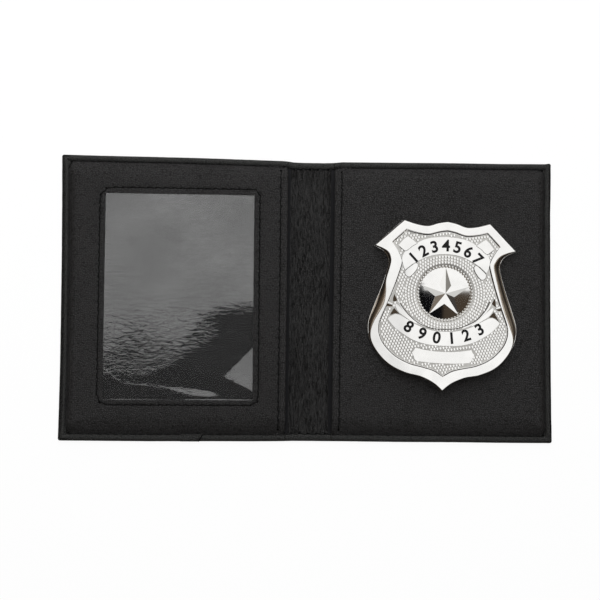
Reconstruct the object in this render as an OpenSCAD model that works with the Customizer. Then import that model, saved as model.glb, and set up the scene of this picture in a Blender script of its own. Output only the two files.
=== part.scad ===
// Badge wallet of black leather, lying open: two padded halves, a narrow spine between two fold lines,
// a window panel on the left, and a struck shield badge on the right. Millimetres, +Z towards the reader.

/* [Wallet] */
// Width of the open wallet
open_w = 192.5; // [170:0.5:210]
// Height of the wallet
wallet_h = 110; // [95:1:130]
// Distance between the two fold lines, the wallet's thickness when it is shut
fold_gap = 15; // [14:0.5:18]
// Radius of the four outer corners
corner_r = 2.4; // [1.5:0.1:4]

/* [Layers] */
// Thickness of the outer cover
cover_t = 0.8; // [0.7:0.1:1.2]
// Thickness of the foam under each board
padding_t = 0.6; // [0.4:0.1:1]
// Thickness of each stiffening board
board_t = 1.0; // [0.8:0.1:1.6]
// Thickness of the lining over each board
lining_t = 0.4; // [0.3:0.1:0.6]
// Height of the card pocket
pocket_h = 0.9; // [0.8:0.1:1.4]
// Thickness of the clear film
film_t = 0.25; // [0.2:0.05:0.4]
// Thickness of the two inner panels
panel_t = 0.75; // [0.6:0.05:1]

/* [Sewn edge] */
// Thickness of the binding tape
tape_t = 0.4; // [0.3:0.05:0.5]
// Width of the binding tape on each face
tape_w = 3.4; // [3:0.1:4.5]
// Distance of the edge stitching from the edge
stitch_in = 2.6; // [2:0.1:2.8]
// Width of a pressed stitch channel
channel_w = 0.6; // [0.4:0.1:0.8]
// Depth of a pressed stitch channel
channel_depth = 0.12; // [0.08:0.02:0.2]
// Thickness of a panel's thinned edge under the tape
skived_t = 0.6; // [0.4:0.05:0.8]
// Distance from the edge to the foot of the panel's slope
slope_foot = 3.8; // [3.6:0.1:5]
// Run of the panel's slope, from its foot to the flat
slope_run = 4.4; // [4:0.1:6]
// Place of the tape's lap, left of the spine
lap_x = 42.3; // [30:0.1:70]
// Length of the tape's lap
lap_len = 7; // [5:0.5:12]

/* [Spine edge] */
// Distance of each panel's turned hem from its fold line
hem_back = 1.5; // [1.2:0.1:2.5]
// Width of the turned hem
hem_w = 7; // [6:0.5:8]
// Thickness of the thinned turning
turning_t = 0.35; // [0.3:0.05:0.4]
// Distance of the hem stitching from the hem's edge
hem_stitch = 2.8; // [2:0.1:3.5]

/* [Window] */
// Width of the window
window_w = 56.5; // [45:0.5:58]
// Height of the window
window_h = 78.6; // [60:0.1:84]
// Radius of the window's corners
window_r = 0.6; // [0.4:0.1:6]
// Shift of the window from its panel's middle, towards the spine
window_shift = 2.3; // [0:0.1:3]
// Height of the window's middle above the wallet's
window_up = 0.8; // [-2:0.1:2]
// Distance of the window stitching from the window
window_stitch = 2.6; // [2:0.1:3.5]
// Radius of the window stitching's corners
stitch_turn_r = 3; // [1.5:0.1:5]
// Gap between the film's edge and the panel's wall and turning
film_clear = 0.5; // [0.3:0.1:2]

/* [Badge] */
// Width of the badge
badge_w = 58.5; // [54:0.5:62]
// Height of the badge
badge_h = 66.1; // [60:0.1:72]
// Height of the badge's rim at its middle
badge_rise = 4.4; // [4:0.1:5]
// Fall of the badge's dome from its middle to its sides
dome_fall = 2.4; // [1.5:0.1:2.8]
// Height of the badge above the wallet's middle
badge_up = 2.7; // [-4:0.1:4]
// Tilt of the badge, clockwise
badge_tilt = 1.9; // [0:0.1:4]
// Depth of the badge's sunk field
field_depth = 0.5; // [0.3:0.05:0.7]
// Radius of the medallion
medallion_r = 10.6; // [9:0.1:11.5]
// Number of beads round the medallion
bead_count = 52; // [40:1:60]
// Radius of a bead
bead_r = 0.55; // [0.4:0.05:0.6]
// Height of the star's middle above the medallion's floor
star_rise = 1.6; // [1:0.1:1.8]
// Height of the ribbons and the plate above the field
ribbon_lift = 0.4; // [0.2:0.05:0.45]
// Width of the ribbons
ribbon_w = 5.9; // [5:0.1:6.5]

/* [Badge fixing] */
// Radius of a stud's post
stud_r = 0.8; // [0.6:0.05:1]
// Distance between the two studs
stud_gap = 34; // [28:1:40]
// Radius of a stud's soldered foot
stud_foot_r = 2.4; // [2:0.1:3]
// Radius of a push-on clip
clip_r = 4.2; // [3.5:0.1:5]
// Thickness of a push-on clip
clip_t = 0.7; // [0.5:0.05:0.75]

/* [Hidden] */
$fn = 48;

// Overrun of a cut past the face that it opens
over = 0.02;
// Gap between two pieces that meet at a fold line, below the fold's axis
fold_clear = 0.1;
// Angle of a fold's groove from upright, a little over half of the right angle that it closes by
groove_angle = 46;
// Running gap round a stud in the panel and the clip
stud_clear = 0.1;

// Plan of one half, measured from the spine's middle
half_w = open_w / 2;
half_h = wallet_h / 2;
fold_x = fold_gap / 2;
hem_x = fold_x + hem_back;

// Heights of the layers in the middle of a half
padding_z = cover_t;
board_z = padding_z + padding_t;
lining_z = board_z + board_t;
pocket_z = lining_z + lining_t;
film_z = pocket_z + pocket_h;
panel_z = film_z + film_t;
crown_z = panel_z + panel_t;

// Heights of the layers at the sewn edge, where the tape lies in a thinned part of the cover
edge_lining_z = cover_t;
edge_panel_z = edge_lining_z + lining_t;
edge_top_z = edge_panel_z + skived_t;
tape_top_z = edge_top_z + tape_t;
spine_tape_z = edge_panel_z + tape_t;
axis_z = cover_t / 2;

// Insets of the slopes from the edge
wall_run = 0.7 * panel_t;
slope_top = slope_foot + slope_run;
lining_foot = slope_foot + 0.4 * slope_run;
lining_top = slope_foot + 0.75 * slope_run;
board_in = lining_top + lining_t;
lining_fold_foot = hem_back;
lining_fold_top = hem_back + lining_z - edge_lining_z;
board_fold = lining_fold_top + lining_t;

// The padding stops at the lining's slope, which leans in over it
padding_share = padding_t / (padding_t + board_t);
padding_in = lining_foot + lining_t + padding_share * (lining_top - lining_foot);
padding_fold = lining_fold_foot + lining_t + padding_share * (lining_fold_top - lining_fold_foot);

// Hem of both panels
hem_r = (panel_t + turning_t) / 2;
hem_half_h = half_h - slope_top - 2 * wall_run;

// Window and film
panel_mid = (hem_x + half_w) / 2;
window_x = -(panel_mid - window_shift);

// Badge on the right half's middle
badge_half = badge_w / 2;
badge_x = panel_mid;
lip_t = 0.12 * badge_rise;
hollow_t = 0.25 * badge_rise;
disc_z = badge_rise - 2 * field_depth - dome_fall * pow(medallion_r / badge_half, 2);
ribbon_in_r = medallion_r + 8 * bead_r;
studs = [-stud_gap / 2, stud_gap / 2];

// Outline of the badge as shares of its half width and its height, from the top peak down the right side
top_share = [[0, 0.428], [0.12, 0.418], [0.26, 0.399], [0.41, 0.406], [0.58, 0.428]];
tip_share = [[0.68, 0.388], [0.82, 0.328], [0.957, 0.2685]];
side_share = [[0.957, 0.2685], [0.82, 0.236], [0.762, 0.196], [0.757, 0.154], [0.815, 0.0635],
    [0.93, -0.0787], [1, -0.1815], [0.985, -0.268], [0.9, -0.345], [0.73, -0.424], [0.503, -0.472],
    [0.291, -0.493], [0.12, -0.528], [0, -0.5725]];

// Edge of the sunk field, point for point beside the outline
field_top_share = [[0, 0.371], [0.11, 0.362], [0.25, 0.345], [0.4, 0.351], [0.545, 0.368]];
field_tip_share = [[0.6, 0.345], [0.665, 0.318], [0.728, 0.29]];
field_side_share = [[0.728, 0.29], [0.65, 0.24], [0.605, 0.2], [0.595, 0.165], [0.655, 0.07],
    [0.775, -0.082], [0.865, -0.19], [0.86, -0.255], [0.79, -0.316], [0.645, -0.378], [0.455, -0.42],
    [0.265, -0.44], [0.12, -0.458], [0, -0.4895]];

// Middles of the lower ribbon's and the plate's curved edges, above the badge's middle
top_edge_share = 0.177;
foot_edge_share = 0.083;
plate_top_share = 0.36;
plate_foot_share = -0.083;

// How far the flank reaches in from the outline towards the field, at each of the same points
top_flank_share = [0.1, 0.1, 0.1, 0.1, 0.1];
tip_flank_share = [0.1, 0.1, 0.06];
side_flank_share = [0.06, 0.35, 0.5, 0.55, 0.55, 0.4, 0.2, 0.14, 0.12, 0.12, 0.12, 0.12, 0.12, 0.1];

// A smooth curve through a run of points or values, with a number of steps for each span
function smooth_run(p, steps) = [
    for (i = [0 : len(p) - 2])
        for (k = [0 : steps - 1])
            let (
                a = p[max(i - 1, 0)],
                b = p[i],
                c = p[i + 1],
                d = p[min(i + 2, len(p) - 1)],
                t = k / steps
            )
            b + ((c - a) * t + (2 * a - 5 * b + 4 * c - d) * t * t + (3 * b - a - 3 * c + d) * t * t * t) / 2
];

// A straight-sided run through its points, with a number of steps for each span
function straight_run(p, steps) = [
    for (i = [0 : len(p) - 2])
        for (k = [0 : steps - 1])
            p[i] + (p[i + 1] - p[i]) * k / steps
];

// The right side of an outline in order, from its top middle to its bottom tip
function side_of(top, tip, side, steps) = concat(
    smooth_run(top, steps),
    straight_run(concat([top[len(top) - 1]], [for (i = [0 : len(tip) - 1]) tip[i]]), 1),
    smooth_run(side, steps),
    [side[len(side) - 1]]
);

// Both sides of an outline in shares, clockwise from the top middle
function both_sides(half) = concat(
    half,
    [for (i = [len(half) - 2 : -1 : 1]) [-half[i][0], half[i][1]]]
);
function both_values(half) = concat(half, [for (i = [len(half) - 2 : -1 : 1]) half[i]]);

curve_steps = 2;
outline_share = both_sides(side_of(top_share, tip_share, side_share, curve_steps));
field_share = both_sides(side_of(field_top_share, field_tip_share, field_side_share, curve_steps));
flank_share = both_values(side_of(top_flank_share, tip_flank_share, side_flank_share, curve_steps));

function badge_point(s) = [s[0] * badge_half, s[1] * badge_h];
outline_points = [for (s = outline_share) badge_point(s)];
field_points = [for (s = field_share) badge_point(s)];
crest_points = [
    for (i = [0 : len(outline_points) - 1])
        outline_points[i] + (field_points[i] - outline_points[i]) * flank_share[i]
];

// Height of the badge's dome, curved about its upright axis
function dome_z(x) = badge_rise - dome_fall * pow(x / badge_half, 2);

// A ring of points on the dome, drawn in to a share of its size and sunk below it
function dome_ring(points, share, sink) = [
    for (p = points) [p[0] * share, p[1] * share, dome_z(p[0] * share) - sink]
];
function flat_ring(points, z) = [for (p = points) [p[0], p[1], z]];

// Triangles between two rings of n points that start at indices a and b
function band_faces(a, b, n) = [
    for (i = [0 : n - 1])
        let (j = (i + 1) % n)
        each [[a + i, b + j, b + i], [a + i, a + j, b + j]]
];

// Faces of a loft of rings, closed by a flat base and a fan to one point on top
function loft_faces(rings, n) = concat(
    [[for (i = [n - 1 : -1 : 0]) i]],
    [for (k = [0 : rings - 2]) each band_faces(k * n, (k + 1) * n, n)],
    [for (i = [0 : n - 1]) [(rings - 1) * n + i, (rings - 1) * n + (i + 1) % n, rings * n]]
);

module on_left() {
    mirror([1, 0, 0])
        children();
}

// Plan of a right half, drawn in from the edge and from the fold line
module half_plan(edge_in, fold_in, r) {
    x_in = fold_x + fold_in;
    x_out = half_w - edge_in;
    y_out = half_h - edge_in;
    translate([x_in, -y_out])
        square([x_out - r - x_in, 2 * y_out]);
    translate([x_in, -(y_out - r)])
        square([x_out - x_in, 2 * (y_out - r)]);
    for (s = [-1, 1])
        translate([x_out - r, s * (y_out - r)])
            circle(r);
}

module rounded_plan(w, h, r) {
    square([w - 2 * r, h], center = true);
    square([w, h - 2 * r], center = true);
    for (sx = [-1, 1])
        for (sy = [-1, 1])
            translate([sx * (w / 2 - r), sy * (h / 2 - r)])
                circle(r);
}

module layer(z, t) {
    translate([0, 0, z])
        linear_extrude(t)
            children();
}

// A rise from one plan at its foot to a smaller one at its top, with sloping sides
module rise(foot_z, top_z, foot_in, top_in, fold_foot, fold_top) {
    hull() {
        layer(foot_z - over, over)
            half_plan(foot_in, fold_foot, corner_r, $fn = 24);
        layer(top_z - over, over)
            half_plan(top_in, fold_top, corner_r, $fn = 24);
    }
}

// The groove over a fold line, in which the upper layers turn
module fold_groove() {
    groove_h = spine_tape_z + over - axis_z;
    groove_w = groove_h * tan(groove_angle);
    translate([fold_x, half_h + over, axis_z])
        rotate([90, 0, 0])
            linear_extrude(wallet_h + 2 * over)
                polygon([[0, 0], [groove_w, groove_h], [-groove_w, groove_h]]);
}

// The cover of one half, thinned below at the edge for the tape
module cover_half() {
    difference() {
        layer(0, cover_t)
            half_plan(tape_t, fold_clear / 2, corner_r - tape_t);
        layer(-over, tape_t + over)
            difference() {
                half_plan(-over, -over, corner_r);
                half_plan(tape_w, -2 * over, corner_r - tape_t);
            }
        fold_groove();
    }
}

module left_cover() {
    color("#26262a")
        on_left()
            cover_half();
}

module right_cover() {
    color("#26262a")
        cover_half();
}

module padding_half() {
    layer(padding_z, padding_t)
        half_plan(padding_in, padding_fold, corner_r);
}

module left_padding() {
    color("#4a4a4e")
        on_left()
            padding_half();
}

module right_padding() {
    color("#4a4a4e")
        padding_half();
}

module board_half() {
    layer(board_z, board_t)
        half_plan(board_in, board_fold, corner_r);
}

module left_board() {
    color("#8a7a62")
        on_left()
            board_half();
}

module right_board() {
    color("#8a7a62")
        board_half();
}

// The lining of one half: flat at the edge and the fold, raised over the board
module lining_half() {
    difference() {
        union() {
            layer(edge_lining_z, lining_t)
                half_plan(tape_t, fold_clear / 2, corner_r - tape_t);
            rise(edge_panel_z, pocket_z, lining_foot, lining_top, lining_fold_foot, lining_fold_top);
        }
        rise(edge_lining_z, lining_z, lining_foot + lining_t, lining_top + lining_t,
            lining_fold_foot + lining_t, lining_fold_top + lining_t);
        fold_groove();
    }
}

module left_lining() {
    color("#1c1c1f")
        on_left()
            lining_half();
}

module right_lining() {
    color("#1c1c1f")
        lining_half();
}

// The inner panel of one half: sewn down at the edge, sloping up over the padding, open at its hem
module panel_half() {
    difference() {
        union() {
            layer(edge_panel_z, skived_t)
                half_plan(tape_t, hem_back + hem_r, corner_r - tape_t);
            rise(edge_top_z, crown_z, slope_foot, slope_top, hem_back + hem_r, hem_back + hem_r);
        }
        rise(edge_panel_z, panel_z, slope_foot + wall_run, slope_top + wall_run, 0, 0);
        layer(crown_z - channel_depth, channel_depth + over)
            translate([hem_x + hem_stitch, 0])
                square([channel_w, 2 * hem_half_h], center = true);
    }
    layer(panel_z - turning_t, turning_t)
        translate([hem_x + hem_r, -hem_half_h])
            square([hem_w, 2 * hem_half_h]);
    translate([hem_x + hem_r, hem_half_h, crown_z - hem_r])
        rotate([90, 0, 0])
            cylinder(h = 2 * hem_half_h, r = hem_r);
}

// The film fills the flat back of the panel, between its walls and the hem's turning
module window_film() {
    color("#c9d0d4", 0.4)
        on_left()
            layer(film_z, film_t)
                half_plan(slope_top + wall_run + film_clear, hem_back + hem_r + hem_w + film_clear, corner_r);
}

module window_panel() {
    color("#2b2b2f")
        difference() {
            on_left()
                panel_half();
            translate([window_x, window_up]) {
                layer(panel_z - over, panel_t + 2 * over)
                    rounded_plan(window_w, window_h, window_r);
                layer(crown_z - channel_depth, channel_depth + over)
                    difference() {
                        rounded_plan(window_w + 2 * window_stitch + channel_w,
                            window_h + 2 * window_stitch + channel_w, stitch_turn_r);
                        rounded_plan(window_w + 2 * window_stitch - channel_w,
                            window_h + 2 * window_stitch - channel_w, stitch_turn_r - channel_w / 2);
                    }
            }
        }
}

// Plan of the tape on one face of a half, from the edge to its inner side
module tape_plan(outer, inner, fold_in) {
    difference() {
        half_plan(outer, fold_in, outer > 0 ? corner_r - tape_t : corner_r);
        half_plan(inner, fold_in - over, corner_r - tape_t);
    }
}

// The tape of one half: under the cover, round the edge, and over the panel, from which it steps down
// to the spine beside the hem
module binding_half() {
    step_x = hem_back + hem_r;
    difference() {
        union() {
            layer(0, tape_t)
                tape_plan(0, tape_w, fold_clear / 2);
            layer(0, spine_tape_z)
                tape_plan(0, tape_t, fold_clear / 2);
            layer(edge_panel_z, tape_t)
                difference() {
                    tape_plan(0, tape_w, fold_clear / 2);
                    half_plan(-over, step_x, corner_r);
                }
            layer(edge_panel_z, tape_top_z - edge_panel_z)
                difference() {
                    tape_plan(0, tape_w, step_x - tape_t);
                    half_plan(tape_t, step_x, corner_r - tape_t);
                }
            layer(0, tape_top_z)
                tape_plan(0, tape_t, step_x);
            layer(edge_top_z, tape_t)
                tape_plan(0, tape_w, step_x);
        }
        fold_groove();
        layer(tape_top_z - channel_depth, channel_depth + over)
            tape_plan(stitch_in - channel_w / 2, stitch_in + channel_w / 2, step_x);
    }
}

// The tape's two ends lap on the lower edge, and the upper end is cut on the slant
module tape_lap() {
    layer(tape_top_z, tape_t / 2)
        polygon([
            [-lap_x, -half_h + tape_t / 2],
            [-lap_x - lap_len, -half_h + tape_t / 2],
            [-lap_x - lap_len, -half_h + tape_w],
            [-lap_x + tape_w / 2, -half_h + tape_w]
        ]);
}

module left_binding() {
    color("#303034") {
        on_left()
            binding_half();
        tape_lap();
    }
}

module right_binding() {
    color("#303034")
        binding_half();
}

// Plan of the spine between the two fold lines
module spine_plan(edge_in) {
    square([fold_gap - fold_clear, wallet_h - 2 * edge_in], center = true);
}

module both_grooves() {
    fold_groove();
    on_left()
        fold_groove();
}

module spine_cover() {
    color("#26262a")
        difference() {
            layer(0, cover_t)
                spine_plan(tape_t);
            for (s = [-1, 1])
                layer(-over, tape_t + over)
                    translate([0, s * (half_h - tape_w / 2)])
                        square([fold_gap, tape_w], center = true);
            both_grooves();
        }
}

module spine_lining() {
    color("#1f1f22")
        difference() {
            layer(edge_lining_z, lining_t)
                spine_plan(tape_t);
            both_grooves();
        }
}

// The tape across the spine's upper and lower ends
module spine_binding() {
    color("#303034")
        difference() {
            for (s = [-1, 1]) {
                layer(0, tape_t)
                    translate([0, s * (half_h - tape_w / 2)])
                        square([fold_gap - fold_clear, tape_w], center = true);
                layer(0, spine_tape_z)
                    translate([0, s * (half_h - tape_t / 2)])
                        square([fold_gap - fold_clear, tape_t], center = true);
                layer(edge_panel_z, tape_t)
                    translate([0, s * (half_h - tape_w / 2)])
                        square([fold_gap - fold_clear, tape_w], center = true);
            }
            both_grooves();
            for (s = [-1, 1])
                layer(spine_tape_z - channel_depth, channel_depth + over)
                    translate([0, s * (half_h - stitch_in)])
                        square([fold_gap, channel_w], center = true);
        }
}

module at_badge() {
    translate([badge_x, badge_up, crown_z])
        rotate([0, 0, -badge_tilt])
            children();
}

module badge_panel() {
    color("#2b2b2f")
        difference() {
            panel_half();
            at_badge()
                for (y = studs)
                    translate([0, y, -panel_t - over])
                        cylinder(h = panel_t + 2 * over, r = stud_r + stud_clear);
        }
}

// The struck shield: outline, sloping flank, rim and sunk field as one loft of rings
module badge_shell() {
    n = len(outline_points);
    edge_round = 0.3 * field_depth;
    rings = [
        flat_ring(outline_points, 0),
        flat_ring(outline_points, lip_t),
        dome_ring(crest_points, 1, edge_round),
        dome_ring(crest_points, 0.985, 0),
        dome_ring(field_points, 1, 0),
        dome_ring(field_points, 0.985, field_depth),
        dome_ring(field_points, 0.7, field_depth),
        dome_ring(field_points, 0.4, field_depth)
    ];
    polyhedron(
        points = concat([for (r = rings) each r], [[0, 0, badge_rise - field_depth]]),
        faces = loft_faces(len(rings), n)
    );
}

// A five-pointed star with a ridge on each arm, standing on the medallion's floor
module star() {
    arms = 5;
    notch_share = 0.39;
    sides = 2 * arms;
    foot = [
        for (i = [0 : sides - 1])
            let (r = (medallion_r - bead_r / 4) * (i % 2 == 0 ? 1 : notch_share), a = 90 - i * 360 / sides)
            [r * cos(a), r * sin(a)]
    ];
    polyhedron(
        points = concat(flat_ring(foot, disc_z - star_rise / 4), flat_ring(foot, disc_z + star_rise / 8),
            [[0, 0, disc_z + star_rise]]),
        faces = loft_faces(2, sides)
    );
}

// The ring of beads, one tube that swells at each bead and narrows between them
module bead_ring() {
    sides = 6;
    stations = 2 * bead_count;
    points = [
        for (i = [0 : stations - 1])
            let (
                a = 360 * i / stations,
                r = i % 2 == 0 ? bead_r : bead_r / 2,
                z = dome_z(medallion_r * cos(a)) - field_depth + bead_r / 4
            )
            for (k = [0 : sides - 1])
                let (b = 360 * k / sides, out = medallion_r + r * cos(b))
                [out * cos(a), out * sin(a), z + r * sin(b)]
    ];
    faces = [
        for (i = [0 : stations - 1])
            for (k = [0 : sides - 1])
                let (
                    a = sides * i,
                    b = sides * ((i + 1) % stations),
                    m = (k + 1) % sides
                )
                each [[a + k, a + m, b + m], [a + k, b + m, b + k]]
    ];
    polyhedron(points = points, faces = faces);
}

// A raised band between two rails of points, its top on the dome and its foot inside the badge
module raised_band(inner, outer, lift) {
    n = len(inner);
    section = 4;
    foot_z = 1.4 * hollow_t;
    points = [
        for (i = [0 : n - 1])
            each [
                [inner[i][0], inner[i][1], foot_z],
                [outer[i][0], outer[i][1], foot_z],
                [outer[i][0], outer[i][1], dome_z(outer[i][0]) - field_depth + lift],
                [inner[i][0], inner[i][1], dome_z(inner[i][0]) - field_depth + lift]
            ]
    ];
    last = section * (n - 1);
    faces = concat(
        [[0, 1, 2], [0, 2, 3]],
        [for (i = [0 : n - 2])
            for (k = [0 : section - 1])
                let (
                    a = section * i + k,
                    b = section * i + (k + 1) % section
                )
                each [[a, a + section, b + section], [a, b + section, b]]],
        [[last, last + 2, last + 1], [last, last + 3, last + 2]]
    );
    polyhedron(points = points, faces = faces);
}

// Points of an arc about a middle point on the badge's centre line
function arc_points(mid_y, r, from, to, steps) = [
    for (i = [0 : steps])
        let (a = from + (to - from) * i / steps)
        [r * cos(a), mid_y + r * sin(a)]
];

// The upper ribbon runs round the medallion, and its ends are cut on the slant
module upper_ribbon() {
    raised_band(
        arc_points(0, ribbon_in_r, 151, 29, 16),
        arc_points(0, ribbon_in_r + ribbon_w, 142, 38, 16),
        ribbon_lift
    );
}

// The lower ribbon is flatter and narrows towards its ends, which turn up beside the medallion
module lower_ribbon() {
    top_y = top_edge_share * badge_h;
    foot_y = foot_edge_share * badge_h;
    raised_band(
        arc_points(top_y, top_y + ribbon_in_r, 313, 227, 16),
        arc_points(foot_y, foot_y + ribbon_in_r + ribbon_w, 317, 223, 16),
        ribbon_lift
    );
}

// The plain plate below the lower ribbon, nearly straight above and rounded below
module plate() {
    plate_top = ribbon_in_r + 1.22 * ribbon_w;
    plate_foot = plate_top + 0.9 * ribbon_w;
    top_y = plate_top_share * badge_h;
    foot_y = plate_foot_share * badge_h;
    raised_band(
        arc_points(top_y, top_y + plate_top, 284, 256, 8),
        arc_points(foot_y, foot_y + plate_foot, 304, 236, 8),
        ribbon_lift
    );
}

module badge() {
    color("#d9dadc")
        at_badge()
            difference() {
                union() {
                    difference() {
                        badge_shell();
                        translate([0, 0, disc_z])
                            cylinder(h = badge_rise, r = medallion_r);
                    }
                    star();
                    bead_ring();
                    upper_ribbon();
                    lower_ribbon();
                    plate();
                }
                translate([0, 0, -over])
                    cylinder(h = hollow_t + over, r = 0.7 * badge_half);
            }
}

// Two posts, each with a soldered foot inside the badge's hollow back
module badge_studs() {
    foot_t = hollow_t / 2;
    post_h = hollow_t - foot_t + panel_t + clip_t + film_t;
    color("#b9a36a")
        at_badge()
            for (y = studs) {
                translate([0, y, hollow_t - foot_t])
                    cylinder(h = foot_t, r = stud_foot_r);
                translate([0, y, hollow_t - foot_t - post_h])
                    cylinder(h = post_h, r = stud_r);
            }
}

// Push-on clips behind the panel, in the slip pocket
module stud_clips() {
    color("#c8b26e")
        at_badge()
            for (y = studs)
                translate([0, y, -panel_t - clip_t])
                    difference() {
                        cylinder(h = clip_t, r = clip_r);
                        translate([0, 0, -over])
                            cylinder(h = clip_t + 2 * over, r = stud_r + stud_clear);
                    }
}

left_cover();
left_padding();
left_board();
left_lining();
window_film();
window_panel();
left_binding();
spine_cover();
spine_lining();
spine_binding();
right_cover();
right_padding();
right_board();
right_lining();
badge_panel();
right_binding();
badge();
badge_studs();
stud_clips();
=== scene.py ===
import math

import bmesh
import bpy
from mathutils import Matrix, Quaternion, Vector, kdtree, noise


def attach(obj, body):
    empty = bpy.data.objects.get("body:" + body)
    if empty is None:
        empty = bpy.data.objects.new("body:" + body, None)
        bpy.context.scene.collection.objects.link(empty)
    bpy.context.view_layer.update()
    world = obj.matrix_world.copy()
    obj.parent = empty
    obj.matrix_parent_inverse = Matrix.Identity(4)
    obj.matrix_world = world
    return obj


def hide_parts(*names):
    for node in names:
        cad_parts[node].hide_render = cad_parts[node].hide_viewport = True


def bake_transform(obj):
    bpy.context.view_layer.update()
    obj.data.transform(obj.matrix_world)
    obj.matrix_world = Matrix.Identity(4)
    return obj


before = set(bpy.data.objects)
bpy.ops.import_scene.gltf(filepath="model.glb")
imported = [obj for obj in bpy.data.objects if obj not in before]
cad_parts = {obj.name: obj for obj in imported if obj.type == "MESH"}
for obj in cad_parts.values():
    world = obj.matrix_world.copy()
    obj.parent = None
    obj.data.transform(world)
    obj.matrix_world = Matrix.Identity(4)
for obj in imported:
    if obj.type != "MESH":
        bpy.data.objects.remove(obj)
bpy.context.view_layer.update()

scene = bpy.context.scene
scene.view_settings.view_transform = "Standard"


# Camera
# It stands about 0.41 m above the open wallet, a little to the left of its middle and below it.
mm = 0.001

camera = bpy.data.objects.new("camera", bpy.data.cameras.new("camera"))
scene.collection.objects.link(camera)
camera.data.lens = 63
camera.data.sensor_width = 36
camera.data.clip_start = 0.01
camera.location = Vector((-27.79, -20.79, 411.28)) * mm
camera_turn = Vector((0.0501360, -0.0596427, 0.0096631))
camera.rotation_mode = "QUATERNION"
camera.rotation_quaternion = Quaternion(camera_turn, camera_turn.length)
scene.camera = camera


# Floor and light
# A white sheet under the wallet and a white light tent over it. The tent has a dull skirt and dark cards,
# which only gloss shows, as they are set out for a picture of polished metal.
def fresh_material(name, **looks):
    """A new material with its nodes and its shader, whose plain values are set by name."""
    material = bpy.data.materials.new(name)
    material.use_nodes = True
    tree = material.node_tree
    shader = tree.nodes["Principled BSDF"]
    for key, value in looks.items():
        shader.inputs[key.replace("_", " ")].default_value = value
    return material, tree, shader


def add_node(tree, kind, **values):
    """Adds a node and sets its inputs by name, or else its properties."""
    made = tree.nodes.new(kind)
    for key, value in values.items():
        socket = made.inputs.get(key.replace("_", " "))
        if socket is not None and not hasattr(made, key):
            socket.default_value = value
        else:
            setattr(made, key, value)
    return made


def wire(tree, *ends):
    """Feeds inputs: in each pair a socket or a plain value, and then the input that takes it."""
    for given, into in zip(ends[::2], ends[1::2]):
        if isinstance(given, bpy.types.NodeSocket):
            tree.links.new(given, into)
        else:
            into.default_value = given


def calc(tree, operation, a, b=None, clamp=False):
    """One sum on a socket or number and another, and its output."""
    made = add_node(tree, "ShaderNodeMath", operation=operation, use_clamp=clamp)
    wire(tree, a, made.inputs[0])
    if b is not None:
        wire(tree, b, made.inputs[1])
    return made.outputs[0]


def times(tree, *parts):
    """The product of sockets and numbers."""
    made = parts[0]
    for part in parts[1:]:
        made = calc(tree, "MULTIPLY", made, part)
    return made


def step_up(tree, value, low, high):
    """0 below low, 1 above high and a smooth rise between; high below low makes it fall."""
    made = add_node(tree, "ShaderNodeMapRange", interpolation_type="SMOOTHSTEP", From_Min=min(low, high),
        From_Max=max(low, high), To_Min=float(low > high), To_Max=float(low < high))
    wire(tree, value, made.inputs["Value"])
    return made.outputs["Result"]


def blend_tones(tree, share, low, high):
    """The low colour where the share is 0 and the high one where it is 1. The low one may be a socket."""
    made = add_node(tree, "ShaderNodeMix", data_type="RGBA")
    start = low if isinstance(low, bpy.types.NodeSocket) else (*low, 1)
    wire(tree, share, made.inputs["Factor"], start, made.inputs["A"], (*high, 1), made.inputs["B"])
    return made.outputs["Result"]


def blend_shaders(tree, share, low, high):
    """The low shader where the share is 0 and the high one where it is 1."""
    made = add_node(tree, "ShaderNodeMixShader")
    wire(tree, share, made.inputs[0], low, made.inputs[1], high, made.inputs[2])
    return made.outputs[0]


shape = bmesh.new()
bmesh.ops.create_grid(shape, x_segments=1, y_segments=1, size=3)
bmesh.ops.translate(shape, verts=shape.verts, vec=(0, 0, -0.15 * mm))
floor = bpy.data.objects.new("floor", bpy.data.meshes.new("floor"))
shape.to_mesh(floor.data)
shape.free()
scene.collection.objects.link(floor)

paper, tree, sheet = fresh_material("white_paper", Base_Color=(0.9, 0.9, 0.9, 1), Roughness=0.9, Specular_IOR_Level=0.2)
glow = add_node(tree, "ShaderNodeEmission", Color=(1, 1, 1, 1), Strength=1.0).outputs[0]
# To gloss the sheet shows as a dark brown glow, a painted reflection, not its white.
dull = add_node(tree, "ShaderNodeEmission", Color=(0.10, 0.08, 0.06, 1), Strength=1.0).outputs[0]
seen = add_node(tree, "ShaderNodeLightPath").outputs
lifted = blend_shaders(tree, times(tree, seen["Is Camera Ray"], 0.95), sheet.outputs[0], glow)
wire(tree, blend_shaders(tree, seen["Is Glossy Ray"], lifted, dull), tree.nodes["Material Output"].inputs["Surface"])
floor.data.materials.append(paper)

tent = bpy.data.worlds.new("light_tent")
scene.world = tent
tent.use_nodes = True
tree = tent.node_tree
tree.nodes.clear()
toward_sky = add_node(tree, "ShaderNodeSeparateXYZ")
wire(tree, add_node(tree, "ShaderNodeTexCoord").outputs["Generated"], toward_sky.inputs[0])
east, north, up = toward_sky.outputs
seen = add_node(tree, "ShaderNodeLightPath").outputs


def between(value, low, high, soft):
    return times(tree, step_up(tree, value, low - soft, low + soft), step_up(tree, value, high + soft, high - soft))


def card(west_side, east_side, south_side, north_side, soft=0.02):
    """A card in the tent between two bounds east and two bounds north, with soft borders."""
    return times(tree, between(east, west_side, east_side, soft), between(north, south_side, north_side, soft))


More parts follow.
